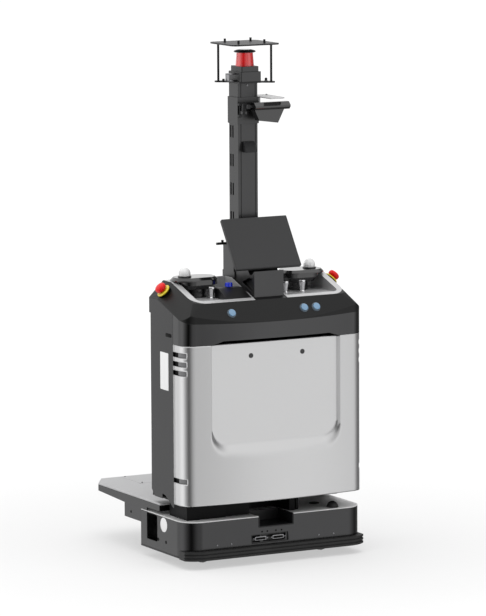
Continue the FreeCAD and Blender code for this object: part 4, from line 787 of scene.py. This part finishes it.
def makeFittings():
    f = fittings
    front, left = Vector((0, -1, 0)), Vector((-1, 0, 0))
    bm = bmesh.new()
    for x in f["baseScrews"]:
        screwHead(bm, onFace("base_pan", spot(x, 0, f["baseScrewZ"]), front), front, f["screwHead"])
    hatchLow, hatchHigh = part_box("deck_hatch")
    inset = f["hatchInset"] * mm
    for x in (hatchLow.x + inset, 0, hatchHigh.x - inset):
        for y in (hatchLow.y + inset, hatchHigh.y - inset):
            screwHead(bm, Vector((x, y, hatchHigh.z)), (0, 0, 1), f["hatchScrew"])
    newPiece("panelScrews", bm, "steelDark")

    bm = bmesh.new()
    for x in f["dots"]:
        place = onFace("base_pan", spot(x, 0, f["dotZ"]), front)
        r = f["dotRadius"]
        spin(bm, [(0, 0.1), (r * 0.7, 0.1), (r, 0.5), (r + 0.6, 0)], place, front, 24)
    # the holes are flat near-black discs: painted shade standing in for the openings
    for node, y, z, r in f["holes"]:
        place = onFace(node, spot(-halfWidth, y, z), left)
        spin(bm, [(0, 0.1), (r - 1, 0.1), (r - 0.5, 0.6), (r, 0.1)], place, left, 28)
    y0, y1, z0, z1 = f["latch"]
    place = onFace("side_panel_left", spot(-halfWidth, (y0 + y1) / 2, (z0 + z1) / 2), left)
    sheet(bm, roundRect(y1 - y0, z1 - z0, 5), 0.8, place, left, 0.4)
    newPiece("darkInsertsAndHoleShade", bm, "deepBlack")

    bm = bmesh.new()
    y0, y1, z0, z1 = f["label"]
    place = onFace("side_panel_left", spot(-halfWidth, (y0 + y1) / 2, (z0 + z1) / 2), left)
    sheet(bm, roundRect(y1 - y0, z1 - z0, 3), 0.4, place, left, 0.15)
    y, z, r = f["disc"]
    place = onFace("base_pan", spot(-halfWidth, y, z), left)
    spin(bm, [(0, 0.5), (r - 0.8, 0.5), (r, 0.2), (r, -0.2)], place, left, 64)
    newPiece("blankPlates", bm, "labelWhite")

    # plug shell in the docking socket
    low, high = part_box("dock_socket")
    middle = Vector(((low.x + high.x) / 2, low.y, (low.z + high.z) / 2))
    shells, faces = bmesh.new(), bmesh.new()
    reach = f["plugScrewX"]
    for shift in (-f["plugShift"], f["plugShift"]):
        sheet(shells, roundRect(*f["plugShell"]), 1.6, middle + Vector((shift, 1, 0)) * mm, front, 0.5)
        for x in (-reach, reach):
            screwHead(shells, middle + Vector((shift + x, 0, 0)) * mm, front, f["plugScrew"])
        sheet(faces, roundRect(*f["plugFace"]), 0.6, middle + Vector((shift, -0.8, 0)) * mm, front, 0.2)
    newPiece("plugShells", shells, "steelDark")
    newPiece("plugFaces", faces, "deepBlack")


makeFittings()


# lamps on the pods

lamp = {"ringInner": 19.5, "ringOuter": 23.5, "ringHeight": 4}


def makeLampRings():
    n = lamp
    verts = [v.co for v in nodes["signal_domes"].data.vertices]
    floor = min(v.z for v in verts)
    bm = bmesh.new()
    for side in (-1, 1):
        mine = [v for v in verts if v.x * side > 0]
        x = (min(v.x for v in mine) + max(v.x for v in mine)) / 2
        y = (min(v.y for v in mine) + max(v.y for v in mine)) / 2
        spin(bm, [(n["ringInner"], 0), (n["ringInner"], n["ringHeight"]),
                  (n["ringOuter"] - 1.5, n["ringHeight"] - 0.3), (n["ringOuter"], n["ringHeight"] - 2),
                  (n["ringOuter"], 0)], Vector((x, y, floor)), (0, 0, 1), 56)
    newPiece("lampRings", bm, "blackPlastic")


makeLampRings()


# clamp and bracket at the mast head

clamp = {
    "rod": (-36, 181, 1519), "rodRadius": 3, "rodWaist": 0.8, "rodLength": 52,
    "pins": (1524, 1563), "pinFace": 187,
    "screws": (((33, 187, 1513), (0, -1, 0), 4.5), ((100, 240, 1587), (0, 0, 1), 4.0),
               ((-2, 190.8, 1628), (0, -1, 0), 4.0)),
    "plate": (41.5, 108, 100, 262, 1584), "plateThick": 3, "gusset": 26,
    "bracket": (-69, 1642, 1669), "bracketWidth": 12, "bracketThick": 4,
    "studs": ((-72.16, 20), (72.16, -20)),
}


def makeRod():
    c = clamp
    r, length = c["rodRadius"], c["rodLength"]
    waist = r * c["rodWaist"]
    bm = bmesh.new()
    spin(bm, [(0, 0), (r, 0), (r, 6), (waist, 8), (waist, length - 8), (r, length - 6), (r, length),
              (0, length)], spot(*c["rod"]), (0, 0, 1), 24)
    for z in c["pins"]:
        spin(bm, [(0, 0), (5.5, 0), (6, 1.5), (6, 8), (4, 9), (3, 14), (0, 14)],
             spot(c["rod"][0], c["pinFace"], z), (0, -1, 0), 24)
    newPiece("clampRod", bm, "blackCoat")
    bm = bmesh.new()
    for place, way, radius in c["screws"]:
        screwHead(bm, spot(*place), way, radius)
    newPiece("clampScrews", bm, "steelDark")


def makeShelf():
    # a thin plate on the collar's right side and the gusset that carries it
    c = clamp
    x0, x1, y0, y1, z = c["plate"]
    bm = bmesh.new()
    corners = [(x0, y0), (x1 - 30, y0), (x1 - 9, y0 + 9), (x1, y0 + 30), (x1, y1 - 8), (x1 - 8, y1),
               (x0, y1)]
    sheet(bm, [(x, frontFace + y) for x, y in corners], c["plateThick"], Vector((0, 0, z * mm)), (0, 0, 1),
          0.6, (0, 1, 0))
    corners = [(x0 - 1, y0 + 88), (x0 + 6, y0 + 88), (x0 + 6, y1 - 2), (x0 - 1, y1 - 2)]
    low = z + 1 - c["gusset"]
    sheet(bm, [(x, frontFace + y) for x, y in corners], c["gusset"], Vector((0, 0, low * mm)), (0, 0, 1),
          0.6, (0, 1, 0))
    newPiece("scannerShelf", bm, "traySilver")


def makeBracket():
    # cable bracket on the rangefinder's left side, and the studs on the deck beside it
    c = clamp
    x0, z0, z1 = (value * mm for value in c["bracket"])
    wide, thick = c["bracketWidth"] * mm, c["bracketThick"] * mm
    low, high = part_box("rangefinder_base")
    y = (low.y + high.y) / 2
    reach = low.x + mm
    bm = bmesh.new()
    for start, end in (((x0, z0), (x0 + thick, z1)), ((x0, z1 - thick), (reach, z1)),
                       ((x0, z0), (reach, z0 + thick))):
        block(bm, (start[0], y - wide, start[1]), (end[0], y + wide, end[1]), 1.0)
    newPiece("cableBracket", bm, "steelDark")
    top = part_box("sensor_deck")[1].z
    bm = bmesh.new()
    for x, back in c["studs"]:
        spin(bm, [(0, 9), (3.5, 9), (4.5, 7.5), (4.5, 0.5), (6.5, 0), (6.5, -0.5)],
             Vector((x * mm, y + back * mm, top)), (0, 0, 1), 24)
    newPiece("deckStuds", bm, "blackCoat")


makeRod()
makeShelf()
makeBracket()
print("fittings ready")


# stage, light and camera

studio = {
    "floorSize": 60, "floorGap": 0.0002,
    "sky": 1.35, "backdrop": 1.0, "floorGlow": 0.5, "floorShade": 0.34,
    "paintedShadowReach": (0.5, 3.0), "glowBeyondPaintedShadow": 1.35,
}


def makeStudio():
    mesh = bpy.data.meshes.new("floor")
    bm = bmesh.new()
    bmesh.ops.create_grid(bm, x_segments=1, y_segments=1, size=studio["floorSize"] / 2)
    bm.to_mesh(mesh)
    bm.free()
    floor = bpy.data.objects.new("floor", mesh)
    bpy.context.scene.collection.objects.link(floor)
    floor.location.z = cadBox[0].z - studio["floorGap"]
    made, place = newMaterial("floorPaper", {"Roughness": 0.9, "Specular IOR Level": 0.0,
                                             "Emission Strength": 1.0})
    shade, glow = studio["floorShade"], studio["floorGlow"]
    # the floor's glow is dimmer within a few metres of the robot: a painted shadow pool round it
    away = place.node("VectorMath", {"operation": "LENGTH"}, {0: place}, "Value")
    feed(made, {"Base Color": mixed(noise(place, 3), grey(shade), grey(shade, 1.02)),
                "Emission Color": mixed(ramp(away, *studio["paintedShadowReach"]), grey(glow),
                                        grey(glow, studio["glowBeyondPaintedShadow"]))})
    mesh.materials.append(made)
    floor.visible_glossy = False

    world = bpy.data.worlds.new("studio")
    world.use_nodes = True
    bpy.context.scene.world = world
    tree = world.node_tree
    coords = tree.nodes.new("ShaderNodeTexCoord")
    way = Wire(tree, coords.outputs["Generated"])
    across = way.node("SeparateXYZ", {}, {0: way}, "X")
    along = way.node("SeparateXYZ", {}, {0: way}, "Y")
    upward = way.node("SeparateXYZ", {}, {0: way}, "Z")
    # angle round the object: 0 behind it, a quarter to its right, a half in front
    turn = across.maths("ARCTAN2", across, along) / (2 * math.pi)
    turn = turn.maths("WRAP", turn, 1, 0)
    stops = [
        (0.00, grey(1.0)), (0.09, grey(0.9)), (0.16, grey(0.22)), (0.27, grey(0.15)), (0.34, grey(0.75)),
        (0.385, grey(1.2)), (0.425, grey(1.3)), (0.465, grey(0.74)), (0.50, grey(0.8)), (0.535, grey(0.62)),
        (0.577, grey(0.26)),
        (0.61, grey(0.04)), (0.635, grey(0.04)), (0.67, grey(0.3)), (0.71, grey(0.7)), (0.765, grey(1.5)),
        (0.81, grey(1.6)), (0.86, grey(1.3)), (0.925, grey(1.1)), (1.00, grey(1.0)),
    ]
    ring = turn.node("ValToRGB", {"stops": stops}, {"Fac": turn})
    overhead = ramp(upward, 0.4, 0.85)
    light = mixed(overhead, ring, grey(studio["sky"]))
    rays = Wire(tree, tree.nodes.new("ShaderNodeLightPath").outputs["Is Camera Ray"])
    light = mixed(rays, light, grey(studio["backdrop"]))
    tree.links.new(light.socket, tree.nodes["Background"].inputs["Color"])


def makeLight(name, place, target, size, power):
    lamp = bpy.data.lights.new(name, "AREA")
    lamp.shape = "RECTANGLE"
    lamp.size, lamp.size_y = size
    lamp.energy = power
    made = bpy.data.objects.new(name, lamp)
    bpy.context.scene.collection.objects.link(made)
    made.location = place
    made.rotation_euler = (Vector(target) - Vector(place)).to_track_quat("-Z", "Y").to_euler()
    made.visible_glossy = False


camera = {
    "place": (-7.3186, -13.7947, 2.9835), "turn": 28.17, "tilt": 7.83, "roll": -0.293,
    "lens": 264.4,
}


def makeCamera():
    lens = bpy.data.cameras.new("camera")
    lens.lens = camera["lens"]
    lens.sensor_width = 36
    lens.clip_end = 200
    made = bpy.data.objects.new("camera", lens)
    bpy.context.scene.collection.objects.link(made)
    turned = (Matrix.Rotation(math.radians(-camera["turn"]), 4, "Z")
              @ Matrix.Rotation(math.radians(90 - camera["tilt"]), 4, "X")
              @ Matrix.Rotation(math.radians(camera["roll"]), 4, "Z"))
    made.matrix_world = Matrix.Translation(camera["place"]) @ turned
    bpy.context.scene.camera = made


overhead = {"place": (-0.6, -0.6, 4.2), "target": (0, 0, 0.8), "size": (3.5, 3.5), "power": 60}

makeStudio()
makeLight("overhead", **overhead)
makeCamera()
bpy.context.scene.view_settings.view_transform = "Standard"
print("studio ready")
